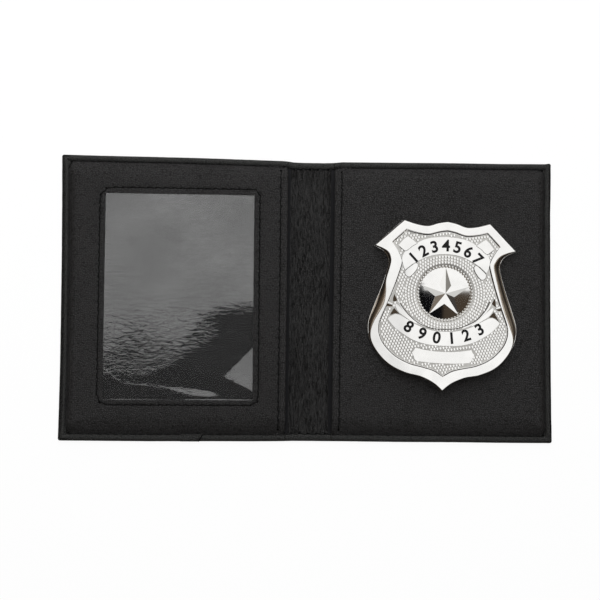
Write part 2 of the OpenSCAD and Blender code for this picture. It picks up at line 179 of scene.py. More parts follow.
skirt = step_up(tree, up, 0.42, 0.3)
shade = (1, 1, 1)
for mask, colour in (
        (step_up(tree, north, -0.34, -0.42), (0.4, 0.39, 0.38)),
        (step_up(tree, east, -0.36, -0.44), (0.2, 0.17, 0.14)),
        (step_up(tree, east, 0.66, 0.72), (0.05, 0.045, 0.04)),
        (card(-0.6, -0.42, 0.205, 0.4), (0.95, 0.95, 0.94)),
        (skirt, (0.10, 0.08, 0.06)),
        (times(tree, skirt, step_up(tree, north, 0.6, 0.85)), (0.7, 0.7, 0.7)),
        (card(-0.5, 0.52, -0.36, -0.056, 0.006), (0.06, 0.045, 0.032)),
        (card(-0.16, 0.185, -0.36, -0.056, 0.006), (0.004, 0.004, 0.005)),
        (card(-0.3, 0.0, -0.02, 0.07, 0.03), (0.86, 0.86, 0.86)),
        (card(-0.19, 0.09, -0.36, -0.026, 0.004), (0.004, 0.004, 0.004)),
        (card(0.74, 1.2, 0.12, 0.3, 0.03), (0.25, 0.24, 0.22)),
        (card(0.46, 0.7, -0.76, -0.48), (1, 1, 1)),
        (card(-0.4, -0.12, -0.76, -0.48), (1, 1, 1)),
        (card(0.56, 0.7, -0.76, -0.48), (0.66, 0.66, 0.65)),
        (card(-0.4, -0.255, -0.76, -0.48), (0.66, 0.66, 0.65))):
    shade = blend_tones(tree, mask, shade, colour)

soft_glow = add_node(tree, "ShaderNodeBackground", Color=(1, 1, 1, 1), Strength=0.34).outputs[0]
seen_white = add_node(tree, "ShaderNodeBackground", Color=(1, 1, 1, 1), Strength=1.0).outputs[0]
mirrored_cards = add_node(tree, "ShaderNodeBackground", Strength=1.0)
wire(tree, shade, mirrored_cards.inputs["Color"])
by_gloss = calc(tree, "MAXIMUM", seen["Is Glossy Ray"], seen["Is Transmission Ray"])
lit = blend_shaders(tree, by_gloss, soft_glow, mirrored_cards.outputs[0])
tent = add_node(tree, "ShaderNodeOutputWorld").inputs["Surface"]
wire(tree, blend_shaders(tree, seen["Is Camera Ray"], lit, seen_white), tent)

lamp = bpy.data.objects.new("lamp_back", bpy.data.lights.new("lamp_back", "AREA"))
lamp.data.size = 0.5
lamp.data.energy = 2.6
lamp.location = (-0.02, 0.29, 0.3)
lamp.rotation_mode = "QUATERNION"
lamp.rotation_quaternion = (-lamp.location).to_track_quat("-Z", "Y")
lamp.visible_glossy = False
lamp.visible_transmission = False
scene.collection.objects.link(lamp)


# Outer cover
# One skin of black coated leather, 0.8 mm thick, under both halves and round the spine. It is made here
# in two flat lengths that meet at the spine's middle.
half_w = 96.25
half_h = 55.0
fold_x = 7.5
hem_x = 9.0
corner_r = 0.9
tape_t = 0.4
tape_w = 3.4
cover_t = 0.8


def plus(tree, a, b, clamp=False):
    return calc(tree, "ADD", a, b, clamp)


def object_place(tree):
    return add_node(tree, "ShaderNodeTexCoord").outputs["Object"]


def speckle(tree, place, scale, **looks):
    """Smooth noise over a place, at a scale that may be a socket."""
    made = add_node(tree, "ShaderNodeTexNoise", **looks)
    wire(tree, place, made.inputs["Vector"], scale, made.inputs["Scale"])
    return made.outputs["Fac"]


def relief(tree, height, deep, under=None, strength=1.0):
    """A bump of a depth in millimetres, over another bump where one is given."""
    made = add_node(tree, "ShaderNodeBump", Strength=strength, Distance=deep * mm)
    wire(tree, height, made.inputs["Height"])
    if under is not None:
        wire(tree, under, made.inputs["Normal"])
    return made.outputs[0]


def leather_grain():
    """Pebbled grain with finer pores and long shallow creases, as heights and a tone."""
    group = bpy.data.node_groups.new("leather_grain", "ShaderNodeTree")
    for name, start in (("Grain Size", 0.5), ("Crease Size", 3.0), ("Crease Stretch", 0.25)):
        group.interface.new_socket(name, in_out="INPUT", socket_type="NodeSocketFloat").default_value = start
    for name in ("Height", "Tone", "Crease"):
        group.interface.new_socket(name, in_out="OUTPUT", socket_type="NodeSocketFloat")
    given = add_node(group, "NodeGroupInput").outputs
    result = add_node(group, "NodeGroupOutput").inputs
    place = object_place(group)
    pitch = calc(group, "DIVIDE", 1000.0, given["Grain Size"])

    warp = add_node(group, "ShaderNodeTexNoise", Detail=2.0, Scale=700.0)
    bent = add_node(group, "ShaderNodeMix", data_type="VECTOR")
    cells = add_node(group, "ShaderNodeTexVoronoi", feature="DISTANCE_TO_EDGE", Randomness=0.9)
    wire(group, place, warp.inputs["Vector"], 0.00035, bent.inputs["Factor"], place, bent.inputs["A"],
        warp.outputs["Color"], bent.inputs["B"], bent.outputs["Result"], cells.inputs["Vector"], pitch, cells.inputs["Scale"])
    plump = step_up(group, cells.outputs["Distance"], 0.0, 0.22)
    pores = speckle(group, place, times(group, pitch, 1.9), Detail=3.0, Roughness=0.6)

    stretch = add_node(group, "ShaderNodeCombineXYZ", X=1.0, Z=1.0)
    long_way = add_node(group, "ShaderNodeMapping")
    wire(group, place, long_way.inputs["Vector"], given["Crease Stretch"], stretch.inputs["Y"],
        stretch.outputs[0], long_way.inputs["Scale"])
    crease_pitch = calc(group, "DIVIDE", 1000.0, given["Crease Size"])
    creases = speckle(group, long_way.outputs[0], crease_pitch, Detail=2.0, Roughness=0.5)
    ridge = times(group, calc(group, "ABSOLUTE", calc(group, "SUBTRACT", creases, 0.5)), -5.0)
    wire(group, plus(group, times(group, plump, 0.4), times(group, pores, 0.6)), result["Height"],
        speckle(group, place, 45.0, Detail=3.0), result["Tone"], plus(group, ridge, 1.0, clamp=True), result["Crease"])
    return group


grain = leather_grain()


def leather(name, dark, light, rough, gloss, grain_size, grain_deep, crease_stretch=4.0, crease_deep=0.0, spread=0.25,
        grain_shade_share=0.5, crease_ridge_light=0.0, crease_size=3.0):
    """A coated leather: two near tones, a soft gloss, and grain and creases of sizes and depths in millimetres. The
    tone is partly random and partly painted light and shade: lighter on the raised grains and crease lines, darker in
    the hollows between.
    """
    material, tree, skin = fresh_material(name, Specular_IOR_Level=gloss)
    marks = add_node(tree, "ShaderNodeGroup", node_tree=grain, Grain_Size=grain_size, Crease_Stretch=crease_stretch,
        Crease_Size=crease_size)
    height, broad, crease = (marks.outputs[kind] for kind in ("Height", "Tone", "Crease"))
    # The tone follows the grain's height: darker in the hollows and lighter on the tops, as painted shade and painted
    # highlight.
    mottle = plus(tree, times(tree, broad, 1 - grain_shade_share), times(tree, height, grain_shade_share))
    # Painted light on the creases: the raised crease lines are lighter and the leather beside them darker.
    if crease_ridge_light:
        mottle = plus(tree, mottle, times(tree, calc(tree, "SUBTRACT", crease, 0.6), crease_ridge_light))
    tone = blend_tones(tree, step_up(tree, mottle, 0.5 - spread, 0.5 + spread), dark, light)
    folds = relief(tree, crease, crease_deep) if crease_deep else None
    wire(tree, tone, skin.inputs["Base Color"], plus(tree, times(tree, broad, 0.14), rough - 0.07), skin.inputs["Roughness"],
        relief(tree, height, grain_deep, folds), skin.inputs["Normal"])
    return material


def eased(t):
    t = min(max(t, 0.0), 1.0)
    return t * t * (3 - 2 * t)


def on_run(value, run):
    """The height of a run of points over a value, with straight lines between them."""
    if value <= run[0][0]:
        return run[0][1]
    for (a, p), (b, q) in zip(run, run[1:]):
        if value <= b:
            return p + (q - p) * (value - a) / (b - a)
    return run[-1][1]


top_stray = ((-95.6, 0.62), (-91, 0.55), (-81, 0.46), (-61, 0.38), (-42, 0.25), (-22, -0.08), (-10.5, -0.3), (-8.6, -0.43),
    (-6.6, -0.72), (-2, -0.83), (5.6, -0.77), (9.5, -0.62), (12, -0.33), (37, -0.1), (57, 0.15), (76, 0.17), (90, 0.38),
    (94, 0.42), (95.6, 0.68))
low_stray = ((-96, 0.15), (-89, 0.2), (-61, 0.35), (-42, 0.27), (-22, 0.25), (-10, 0.15), (-6, 0.04), (6, 0.1), (14, 0.12),
    (37, 0.33), (57, 0.36), (76, 0.54), (96, 0.6))
left_stray = ((-55, -0.1), (-40, -0.3), (-24, -0.4), (-4, -0.34), (16, -0.22), (36, 0.0), (44, 0.16), (55, 0.34))
right_stray = ((-55, 0.36), (-45, 0.14), (-25, 0.0), (-5, -0.04), (35, 0.02), (42, 0.2), (50, 0.3), (55, 0.42))
hem_stray = {-1: ((-55, 0.05), (-20, 0.2), (10, 0.36), (55, 0.42)), 1: ((-55, 0.12), (-20, 0.25), (10, 0.5), (55, 0.8))}


def as_worn(x, y):
    """Moves a point of the square pattern to where the leather has stretched or drawn in, near the edges and hems."""
    near_end = eased((abs(y) - 46) / 6)
    near_side = eased((abs(x) - 86) / 7)
    near_hem = eased((17 - abs(x)) / 5) * eased((abs(x) - 3) / 4)
    x_new = x + near_hem * on_run(y, hem_stray[-1 if x < 0 else 1])
    x_new += near_side * on_run(y, right_stray) if x > 0 else -near_side * on_run(y, left_stray)
    return x_new, y + near_end * (on_run(x, top_stray) if y > 0 else -on_run(x, low_stray))


def lay_grid(shape, columns, rows, place):
    """Lays a grid of faces and puts each crossing at place(i, j), in millimetres."""
    made = bmesh.ops.create_grid(shape, x_segments=columns, y_segments=rows, size=1)["verts"]
    column_of, row_of = ({at: k for k, at in enumerate(sorted({round(v.co[axis], 6) for v in made}))} for axis in (0, 1))
    for vert in made:
        vert.co = Vector(place(column_of[round(vert.co.x, 6)], row_of[round(vert.co.y, 6)])) * mm
    return made


def everything(shape):
    return shape.verts[:] + shape.edges[:] + shape.faces[:]


def turn_out(shape):
    bmesh.ops.recalc_face_normals(shape, faces=shape.faces)


def close_up(shape, gap=0.002):
    """Welds what meets and turns the faces outwards."""
    bmesh.ops.remove_doubles(shape, verts=shape.verts, dist=gap * mm)
    bmesh.ops.dissolve_degenerate(shape, edges=shape.edges, dist=gap * 0.5 * mm)
    turn_out(shape)


def make_piece(name, shape, material, stands_for=(), crisp=None):
    """Turns a finished shape into a piece with its material, smooth or crisp above an angle."""
    mesh = bpy.data.meshes.new(name)
    shape.to_mesh(mesh)
    shape.free()
    mesh.shade_smooth()
    if crisp is not None:
        mesh.set_sharp_from_angle(angle=math.radians(crisp))
    mesh.materials.append(material)
    piece = bpy.data.objects.new(name, mesh)
    scene.collection.objects.link(piece)
    if stands_for:
        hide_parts(*stands_for)
    return piece


def over_fold(piece, side):
    """Bakes a piece's placement into its mesh, the same for either side, -1 for left and 1 for right; it bends nothing.
    """
    if side < 0:
        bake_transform(piece)
    else:
        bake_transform(piece)


def side_name(side):
    return "left" if side < 0 else "right"


cover_leather = leather("cover_leather", (0.006, 0.006, 0.0062), (0.026, 0.026, 0.0262), 0.46, 0.24, 0.75, 0.2, spread=0.22,
    grain_shade_share=0.85)
for side in (-1, 1):
    shape = bmesh.new()
    across, along = 96, 52
    lay_grid(shape, across, along, lambda i, j: (
        *as_worn(side * (half_w - tape_t) * (i / across), (half_h - tape_t) * (2 * j / along - 1)), cover_t / 2))
    close_up(shape)
    bmesh.ops.solidify(shape, geom=everything(shape), thickness=cover_t * mm)
    level = sum(v.co.z for v in shape.verts) / len(shape.verts)
    bmesh.ops.translate(shape, verts=shape.verts, vec=(0, 0, cover_t / 2 * mm - level))
    for vert in shape.verts:
        near_edge = min(half_w - abs(vert.co.x) / mm, half_h - abs(vert.co.y) / mm)
        if vert.co.z < 0.3 * mm:
            vert.co.z = (tape_t if near_edge < tape_w else 0.06 * (0.5 + 0.5 * noise.noise(vert.co * 90)) + 0.01) * mm
    turn_out(shape)
    cover = make_piece(f"outer_skin_{side_name(side)}", shape, cover_leather, (f"{side_name(side)}_cover", "spine_cover"),
        40)
    over_fold(cover, side)


# Foam, boards and inner linings
# Each half holds a fibre board on a thin sheet of foam, and a black cloth lining lies over the board
# as the back wall of the pocket.
def shade_of(name, low, high, rough, pattern_size, bump):
    """A plain fibrous or cellular stuff: two tones and a fine relief."""
    material, tree, body = fresh_material(name, Roughness=rough, Specular_IOR_Level=0.3)
    flecks = speckle(tree, object_place(tree), 1000 / pattern_size, Detail=4.0, Roughness=0.65)
    wire(tree, blend_tones(tree, step_up(tree, flecks, 0.3, 0.7), low, high), body.inputs["Base Color"],
        relief(tree, flecks, bump), body.inputs["Normal"])
    return material


def cloth_weave(name, warp_colour, weft_colour, thread_size):
    """A plain weave of two sets of threads over and under each other."""
    material, tree, body = fresh_material(name, Roughness=0.85, Specular_IOR_Level=0.1)
    place = add_node(tree, "ShaderNodeSeparateXYZ")
    wire(tree, object_place(tree), place.inputs[0])
    turns = math.pi * 1000 / thread_size
    over = times(tree, *(calc(tree, "SINE", times(tree, place.outputs[axis], turns)) for axis in "XY"))
    wire(tree, blend_tones(tree, step_up(tree, over, -0.2, 0.2), warp_colour, weft_colour), body.inputs["Base Color"],
        relief(tree, calc(tree, "ABSOLUTE", over), 0.08, strength=0.8), body.inputs["Normal"])
    return material


seam_top, seam_low, seam_side = 2.5, 2.75, {-1: 2.95, 1: 2.75}


def beside(x, y):
    """1 along the left and right edges and 0 along the top and bottom, with a change over the corners' slant."""
    return eased(((half_h - abs(y)) - (half_w - abs(x))) / 4 + 0.5)


def seam_in(x, y):
    """How far in from the edge the seam runs: it wanders from side to side."""
    end = seam_top if y > 0 else seam_low
    return end + (seam_side[-1 if x < 0 else 1] - end) * beside(x, y)


def edge_inset(x, y, round_r):
    """Distance in from the wallet's edge, with corners rounded at that radius."""
    dx, dy = half_w - abs(x), half_h - abs(y)
    if dx < round_r and dy < round_r:
        return round_r - math.hypot(round_r - dx, round_r - dy)
    return min(dx, dy)


def uneven(x, y, z):
    """A smooth unevenness about 0, which never passes 1."""
    return noise.noise(Vector((x, y, z)))


foam_stuff = shade_of("grey_foam", (0.05, 0.05, 0.055), (0.09, 0.09, 0.095), 0.9, 0.8, 0.15)
board_stuff = shade_of("fibre_board", (0.24, 0.19, 0.13), (0.36, 0.30, 0.21), 0.85, 1.4, 0.05)
lining_cloth = cloth_weave("lining_cloth", (0.010, 0.010, 0.011), (0.016, 0.016, 0.017), 0.35)
foam_edge = (6.6, 2.6)
foam_t, foam_middle, foam_corner_r = 0.58, 1.1, 2.4
lining_low, lining_high, lining_t = 1.2, 2.8, 0.36
for side in (-1, 1):
    name = side_name(side)
    shape = bmesh.new()
    x_in, x_out = fold_x + foam_edge[1], half_w - foam_edge[0]
    bmesh.ops.create_cube(shape, size=1)
    bmesh.ops.scale(shape, verts=shape.verts, vec=((x_out - x_in) * mm, 2 * (half_h - foam_edge[0]) * mm, foam_t * mm))
    bmesh.ops.translate(shape, verts=shape.verts, vec=(side * (x_in + x_out) / 2 * mm, 0, foam_middle * mm))
    upright = [e for e in shape.edges if abs(e.verts[0].co.z - e.verts[1].co.z) > 0.3 * mm]
    bmesh.ops.bevel(shape, geom=upright, offset=foam_corner_r * mm, segments=5, profile=0.5, affect="EDGES", material=-1)
    rims = [e for e in shape.edges if e.calc_face_angle(0) > 0.6]
    bmesh.ops.bevel(shape, geom=rims, offset=0.12 * mm, segments=2, profile=0.5, affect="EDGES", material=-1)
    foam = make_piece(f"foam_{name}", shape, foam_stuff, (f"{name}_padding",), 50)
    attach(foam, f"{name}_half")

    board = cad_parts[f"{name}_board"]
    board.data.materials.clear()
    board.data.materials.append(board_stuff)

    shape = bmesh.new()
    across, along = 70, 80

    def lining_place(i, j):
        x = fold_x + 0.3 + (half_w - tape_t - fold_x - 0.3) * i / across
        y = (half_h - tape_t) * (2 * j / along - 1)
        rise = eased((edge_inset(x, y, 8) - 5.6) / 1.6) * eased((x - hem_x - 0.1) / 1.7)
        ripple = 0.05 * uneven(x * 0.09, y * 0.07, 3 * side) * rise
        return *as_worn(side * x, y), lining_low + (lining_high - lining_low) * rise + ripple - 0.03

    lay_grid(shape, across, along, lining_place)
    turn_out(shape)
    bmesh.ops.solidify(shape, geom=everything(shape), thickness=lining_t * mm)
    if max(v.co.z for v in shape.verts) > (lining_high + 0.1) * mm:
        bmesh.ops.translate(shape, verts=shape.verts, vec=(0, 0, -lining_t * mm))
    turn_out(shape)
    lining = make_piece(f"pocket_lining_{name}", shape, lining_cloth, (f"{name}_lining",), 60)
    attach(lining, f"{name}_half")


# Spine lining
# A strip of the same hide between the two panels, worn into upright wrinkles where the wallet folds.
# Its tone is lighter on the raised wrinkle lines and darker between them: painted light and shade.
spine_leather = leather("spine_leather", (0.002, 0.002, 0.002), (0.036, 0.0356, 0.0356), 0.44, 0.24, 0.6, 0.24, 0.09, 0.36,
    spread=0.24, grain_shade_share=0.7, crease_ridge_light=0.4, crease_size=0.42)
spine_top, spine_t, spine_reach = 1.2, 0.3, 10.6


def thicken(piece, thickness):
    """Gives a sheet its thickness, below the side that is seen."""
    skin = piece.modifiers.new("thickness", "SOLIDIFY")
    skin.thickness = thickness * mm
    skin.offset = -1 if max(piece.data.polygons, key=lambda face: face.center.z).normal.z > 0 else 1


def spine_wrinkle(x, y):
    """Height of the upright wrinkles, deeper beside the fold lines and at the lower end."""
    near_fold = math.exp(-((abs(x) - 6.2) / 2.4) ** 2)
    low_end = 0.6 + 0.4 * eased((10 - y) / 60)
    drift = uneven(x * 0.12, y * 0.045, 1.7) * 1.6
    ridge = 1 - abs(uneven((x + drift) * 0.95, y * 0.06, 5.1)) * 2.2
    fine = uneven(x * 2.1, y * 0.22, 9.3)
    return (0.44 * ridge * (0.4 + 0.6 * near_fold) + 0.17 * fine) * low_end


for side in (-1, 1):
    shape = bmesh.new()
    across, along = 44, 300

    def spine_place(i, j):
        x = side * spine_reach * i / across
        y = (half_h - tape_t - 0.1) * (2 * j / along - 1)
        held = eased((half_h - 3.0 - abs(y)) / 4)
        dip = 0.35 * math.exp(-((x + 9.2) / 2.2) ** 2) + 0.2 * math.exp(-((x - 9.4) / 1.2) ** 2)
        return *as_worn(x, y), spine_top - 0.16 + spine_wrinkle(x, y) * held * 0.85 - (0.1 + dip) * held

    lay_grid(shape, across, along, spine_place)
    turn_out(shape)
    strip = make_piece(f"spine_lining_{side_name(side)}", shape, spine_leather, ("spine_lining",))
    thicken(strip, spine_t)
    over_fold(strip, side)


# Window panel and badge panel
# Soft black leather over a thin padding. The edge is thinned and sewn under the tape, and the side
# by the spine is turned under and sewn down as a hem.
panel_leather = leather("panel_leather", (0.005, 0.0049, 0.005), (0.031, 0.0302, 0.0306), 0.42, 0.26, 0.75, 0.34, 3.2, 0.2,
    spread=0.2, grain_shade_share=0.88, crease_ridge_light=0.08, crease_size=2.2)
panel_crown, panel_edge, panel_under, panel_skin = 4.7, 1.6, 1.8, 0.5
hem_r, hem_w, hem_stitch = 0.55, 7.0, 2.8
window_x, window_y, window_w, window_h = -50.325, 0.8, 56.5, 78.6
opening_x = (window_x - window_w / 2 - 0.55, window_x + window_w / 2 + 0.4)
opening_y = (window_y - window_h / 2 - 0.65, window_y + window_h / 2 + 0.35)
window_stitch = 2.6
groove_deep, groove_w, groove_sag, groove_sag_w = 0.09, 0.3, 0.08, 1.0


def even_walk(points, pitch):
    """Points at even steps of about the pitch along a line of points."""
    lengths = [0.0]
    for a, b in zip(points, points[1:]):
        lengths.append(lengths[-1] + math.dist(a, b))
    count = max(round(lengths[-1] / pitch), 1)
    walked, k = [], 0
    for n in range(count + 1):
        want = lengths[-1] * n / count
        while k < len(points) - 2 and lengths[k + 1] < want:
            k += 1
        span = lengths[k + 1] - lengths[k] or 1
        t = (want - lengths[k]) / span
        walked.append(tuple(a + (b - a) * t for a, b in zip(points[k], points[k + 1])))
    return walked


def corner_arc(cx, cy, r, start, end, steps=5):
    return [(cx + r * math.cos(math.radians(start + (end - start) * k / steps)),
        cy + r * math.sin(math.radians(start + (end - start) * k / steps))) for k in range(steps + 1)]


edge_holes, hem_holes, pulled = {}, {}, {}
for side in (-1, 1):
    in_x, top_y, low_y, r = half_w - seam_side[side], half_h - seam_top, -half_h + seam_low, 0.8
    line = [(0, top_y)] + corner_arc(in_x - r, top_y - r, r, 90, 0) + corner_arc(in_x - r, low_y + r, r, 0, -90) + [(0, low_y)]
    edge_holes[side] = even_walk([(side * x, y) for x, y in line], 3.3)
    hem_holes[side] = even_walk([(side * (hem_x + hem_stitch), 50.5), (side * (hem_x + hem_stitch), -50.2)], 3.5)
line = []
for sx, sy, start, r in ((1, 1, 90, 1.8), (1, -1, 0, 2.8), (-1, -1, -90, 3.6), (-1, 1, -180, 4.6)):
    line += corner_arc(window_x + sx * (window_w / 2 + window_stitch - r), window_y + sy * (window_h / 2 + window_stitch - r),
        r, start, start - 90)
window_holes = even_walk(line + line[:1], 3.2)
for side in (-1, 1):
    points = edge_holes[side] + hem_holes[side] + (window_holes if side < 0 else [])
    pulled[side] = kdtree.KDTree(len(points))
    for k, (x, y) in enumerate(points):
        pulled[side].insert((x, y, 0), k)
    pulled[side].balance()


def pulled_down(x, y, reach=0.8):
    """1 at a needle hole, falling to 0 about a millimetre away: the thread pulls the leather down there."""
    return math.exp(-(pulled[-1 if x < 0 else 1].find((x, y, 0))[2] / reach) ** 2)


def grid_lines(low, high, step, fine):
    """Places of grid lines: even steps, with closer ones beside each fine place."""
    close = [c + d for c in fine for d in (-1.3, -0.85, -0.5, -0.3, -0.15, 0, 0.15, 0.3, 0.5, 0.85, 1.3) if low < c + d < high]
    count = round((high - low) / step)
    even = [low + (high - low) * k / count for k in range(count + 1)]
    return sorted(close + [v for v in even if v in (low, high) or all(abs(v - c) > 0.2 for c in close)])


def window_inset(x, y):
    """Distance out from the window's edge, and below zero inside it."""
    dx = max(opening_x[0] - x, x - opening_x[1])
    dy = max(opening_y[0] - y, y - opening_y[1])
    return math.hypot(dx, dy) if dx > 0 and dy > 0 else max(dx, dy)


def groove(far):
    """How deep the leather lies at a distance from a row of stitches: a pressed line in a wider sag."""
    return groove_deep * math.exp(-(far / groove_w) ** 2) + groove_sag * math.exp(-(far / groove_sag_w) ** 2)


def panel_height(x, y, side):
    """Height of a panel's face at rest, with its crown, the sewn edge and the pressed stitch lines."""
    at_side = beside(x, y)
    inset = edge_inset(x, y, 6.5)
    t = min(max((inset - seam_in(x, y) + 0.25) / (7.4 - 2.6 * at_side), 0.0), 1.0)
    z = panel_edge + (panel_crown - panel_edge) * (1 - (1 - t) ** (1.9 + 1.1 * at_side))
    flat = eased((inset - 5) / 5)
    z += flat * (0.1 * uneven(x * 0.06, y * 0.05, 2.0 * side) + 0.05 * uneven(x * 0.11, y * 0.26, 5.0 * side) - 0.05)
    z -= groove(abs(x) - hem_x - hem_stitch)
    if side < 0:
        out = window_inset(x, y)
        z -= groove(out - window_stitch + 0.45) + 0.07 * math.exp(-max(out, 0) / 0.25)
    else:
        dx, dy = x - 52.6, y - 1
        around = math.hypot(dx / 1.15, dy)
        z -= 0.16 * math.exp(-((around - 33) / 9) ** 2) * (0.5 + 0.5 * math.cos(3 * math.atan2(dy, dx) + 0.9)) * flat
    return z - 0.34 * pulled_down(x, y)


for side in (-1, 1):
    name = side_name(side)
    shape = bmesh.new()
    turn = 7
    fine_x = [hem_x + hem_stitch]
    fine_y = []
    if side < 0:
        fine_x += [-window_x + k * (window_w / 2 + window_stitch) for k in (-1, 1)]
        fine_y = [window_y + k * (window_h / 2 + window_stitch) for k in (-1, 1)]
    lines_x = grid_lines(hem_x + hem_r, half_w - 0.9, 0.75, fine_x)
    lines_y = grid_lines(-half_h + 0.9, half_h - 0.9, 0.75, fine_y)

    def panel_place(i, j):
        y = lines_y[j]
        flat_x = hem_x + hem_r
        if i >= turn + 1:
            x = lines_x[i - turn - 1]
            return *as_worn(side * x, y), panel_height(side * x, y, side)
        top = panel_height(side * flat_x, y, side)
        room = min(hem_r, (top - panel_under) / 2 + 0.2)
        if i >= 1:
            a = math.pi / 2 + math.pi * (turn + 1 - i) / turn
            return *as_worn(side * (flat_x + room * math.cos(a)), y), top - room + room * math.sin(a)
        return *as_worn(side * (flat_x + hem_w), y), top - 2 * room

    lay_grid(shape, len(lines_x) + turn, len(lines_y) - 1, panel_place)
    if side < 0:
        for cuts, way in ((opening_x, (1, 0, 0)), (opening_y, (0, 1, 0))):
            for cut in cuts:
                bmesh.ops.bisect_plane(shape, geom=everything(shape), dist=0.01 * mm, plane_co=(cut * mm, cut * mm, 0),
                    plane_no=way)
        inside = [f for f in shape.faces if window_inset(*(f.calc_center_median() / mm).xy) < 0]
        bmesh.ops.delete(shape, geom=inside, context="FACES")
    shape.normal_update()
    if max(shape.faces, key=lambda f: f.calc_center_median().z).normal.z < 0:
        bmesh.ops.reverse_faces(shape, faces=shape.faces)
    node = "window_panel" if side < 0 else "badge_panel"
    panel = make_piece(f"{node}_leather", shape, panel_leather, (node,))
    thicken(panel, panel_skin)
    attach(panel, f"{name}_half")
# Clear film
# A sheet of soft clear plastic sewn behind the window. It is glossy and a little wavy, and the dark pocket
# shows through it.
film_stuff, tree, film_shader = fresh_material("clear_film", Base_Color=(0.91, 0.91, 0.91, 1), Roughness=0.05, IOR=1.74,
    Transmission_Weight=0.98, Coat_Roughness=0.05)


def drawn_out(tree, share):
    """Object coordinates for a pattern that is drawn out across the film."""
    made = add_node(tree, "ShaderNodeMapping", Scale=(share, 1.0, 1.0))
    wire(tree, object_place(tree), made.inputs["Vector"])
    return made.outputs[0]


waves = speckle(tree, drawn_out(tree, 0.35), 420.0, Detail=1.5, Roughness=0.5, Distortion=0.8)
crumple = speckle(tree, drawn_out(tree, 0.4), 850.0, Detail=2.0, Roughness=0.5, Distortion=0.8)
rub = speckle(tree, drawn_out(tree, 0.16), 1150.0, Detail=2.0, Roughness=0.5)
cloud = speckle(tree, object_place(tree), 45.0, Detail=2.0)
crumpled = add_node(tree, "ShaderNodeAttribute", attribute_name="mottle").outputs["Fac"]
crumple_height = times(tree, calc(tree, "SUBTRACT", crumple, 0.5), crumpled)
haze = plus(tree, times(tree, rub, 1.3), times(tree, cloud, 1.7))
wire(tree, relief(tree, crumple_height, 0.065, relief(tree, waves, 0.011)), film_shader.inputs["Normal"],
    calc(tree, "SUBTRACT", haze, 1.25, clamp=True), film_shader.inputs["Coat Weight"])

shape = bmesh.new()
film_top, film_rise, film_t = 3.98, 0.34, 0.2
film_left, film_right, film_half_h = -87.0, -17.1, 45.7
across, along = 180, 228
eye_south, eye_above = 20.8, 407
dark_aim = -0.052
film_bulge = ((-80, -21), (-76, -20), (-72, -16.5), (-68, -14), (-65, -14.5), (-61.5, -19), (-55, -20.5), (-50, -18),
    (-46, -13.5), (-42, -8.5), (-38, -5), (-34, -3.2), (-29, -2.4), (-21, -2), (-16, -2))
film_streak = ((-78.6, -27.5), (-77.2, -28.4), (-74.5, -31), (-71.4, -32.5), (-64.4, -33.3), (-52.8, -34.8), (-43, -36.5),
    (-33, -37.4))


def film_left_share(x, y):
    """How much a point belongs to the crumpled left part, whose right end runs down and to the left."""
    return eased((-37 + 1.6 * min(y + 15, 0) - x) / 7 + 0.5)


def film_fall(x, y):
    """How steeply the film falls towards the lower edge, from where a mirror there would look: it bulges along a
    bent line and lies at a slant below it, with a bright streak and a bright corner."""
    soft = 8.5 - 6.5 * eased((x + 58) / 17)
    below = (on_run(x, film_bulge) + 0.6 * uneven(x * 0.2, 1.3, 1.0) - y) / soft
    foot = eased((-29 - y) / 3)
    level = (y + eye_south) / eye_above
    aim = level + (min(level, dark_aim - 0.03 * foot) - level) * eased((below + 1) / 2)
    streak = (y - on_run(x, film_streak)) / (0.2 + 1.1 * eased((x + 57) / 12))
    if x < -33:
        aim += 0.115 * math.exp(-streak * streak) * eased((-32 - x) / 8)
    first = (x + 32.8) * 0.707 - (y + 30.2) * 0.707
    second = (x + 32.8) * 0.434 + (y + 30.2) * 0.9
    ragged = 0.8 * uneven(x * 0.8, y * 1.9, 5.1)
    aim += (0.07 + 0.03 * foot) * eased((min(first, second) + ragged) / 1.3 + 0.5)
    aim += 0.045 * eased((-38.75 - y) / 0.2)
    return (level - aim) / 2


def film_fold(x, y):
    """The fine crinkles, strongest along the bulge."""
    left = film_left_share(x, y)
    near = math.exp(-((on_run(x, film_bulge) + 0.5 - y) / (5 + 4.5 * left)) ** 2)
    strength = 0.07 + 0.93 * near * (0.35 + 0.65 * left)
    return strength * (0.026 * uneven(x * 0.36, y * 0.85, 2.2) + 0.014 * uneven(x * 0.75, y * 1.6, 7.7))


def film_mottle(x, y):
    """How strongly the film is crumpled: over a patch at the left, in a band along the bulge and along the streak."""
    patch = film_left_share(x, y) * eased((y + 33) / 7) * eased((1 - y) / 9)
    band = math.exp(-((on_run(x, film_bulge) - y) / 2.6) ** 2)
    along_streak = 0.7 * math.exp(-((on_run(x, film_streak) - y) / 1.6) ** 2)
    along_streak *= eased((x + 76) / 10) * eased((-42 - x) / 4)
    return 0.03 + 0.97 * max(patch, band, along_streak)


film_steps = [film_half_h * (2 * j / along - 1) for j in range(along + 1)]
film_z = []
for i in range(across + 1):
    x = film_left + (film_right - film_left) * i / across
    z, column = film_rise, []
    for low, high in zip(film_steps[::-1][1:], film_steps[::-1]):
        column.append(z)
        if abs(high - window_y) < window_h / 2 + 0.8:
            z -= film_fall(x, (low + high) / 2) * (high - low)
    column.append(z)
    film_z.append(column[::-1])


def film_place(i, j):
    x = film_left + (film_right - film_left) * i / across
    y = film_steps[j]
    free = eased(1 - (window_inset(x, y) - 0.15) / 1.1)
    return x, y, film_top + (film_z[i][j] + film_fold(x, y)) * free


mottle_marks = shape.verts.layers.float.new("mottle")
for vert in lay_grid(shape, across, along, film_place):
    vert[mottle_marks] = film_mottle(vert.co.x / mm, vert.co.y / mm)
shape.normal_update()
if shape.faces[:][0].normal.z < 0:
    bmesh.ops.reverse_faces(shape, faces=shape.faces)
film = make_piece("window_film_sheet", shape, film_stuff, ("window_film",))
thicken(film, film_t)
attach(film, "left_half")


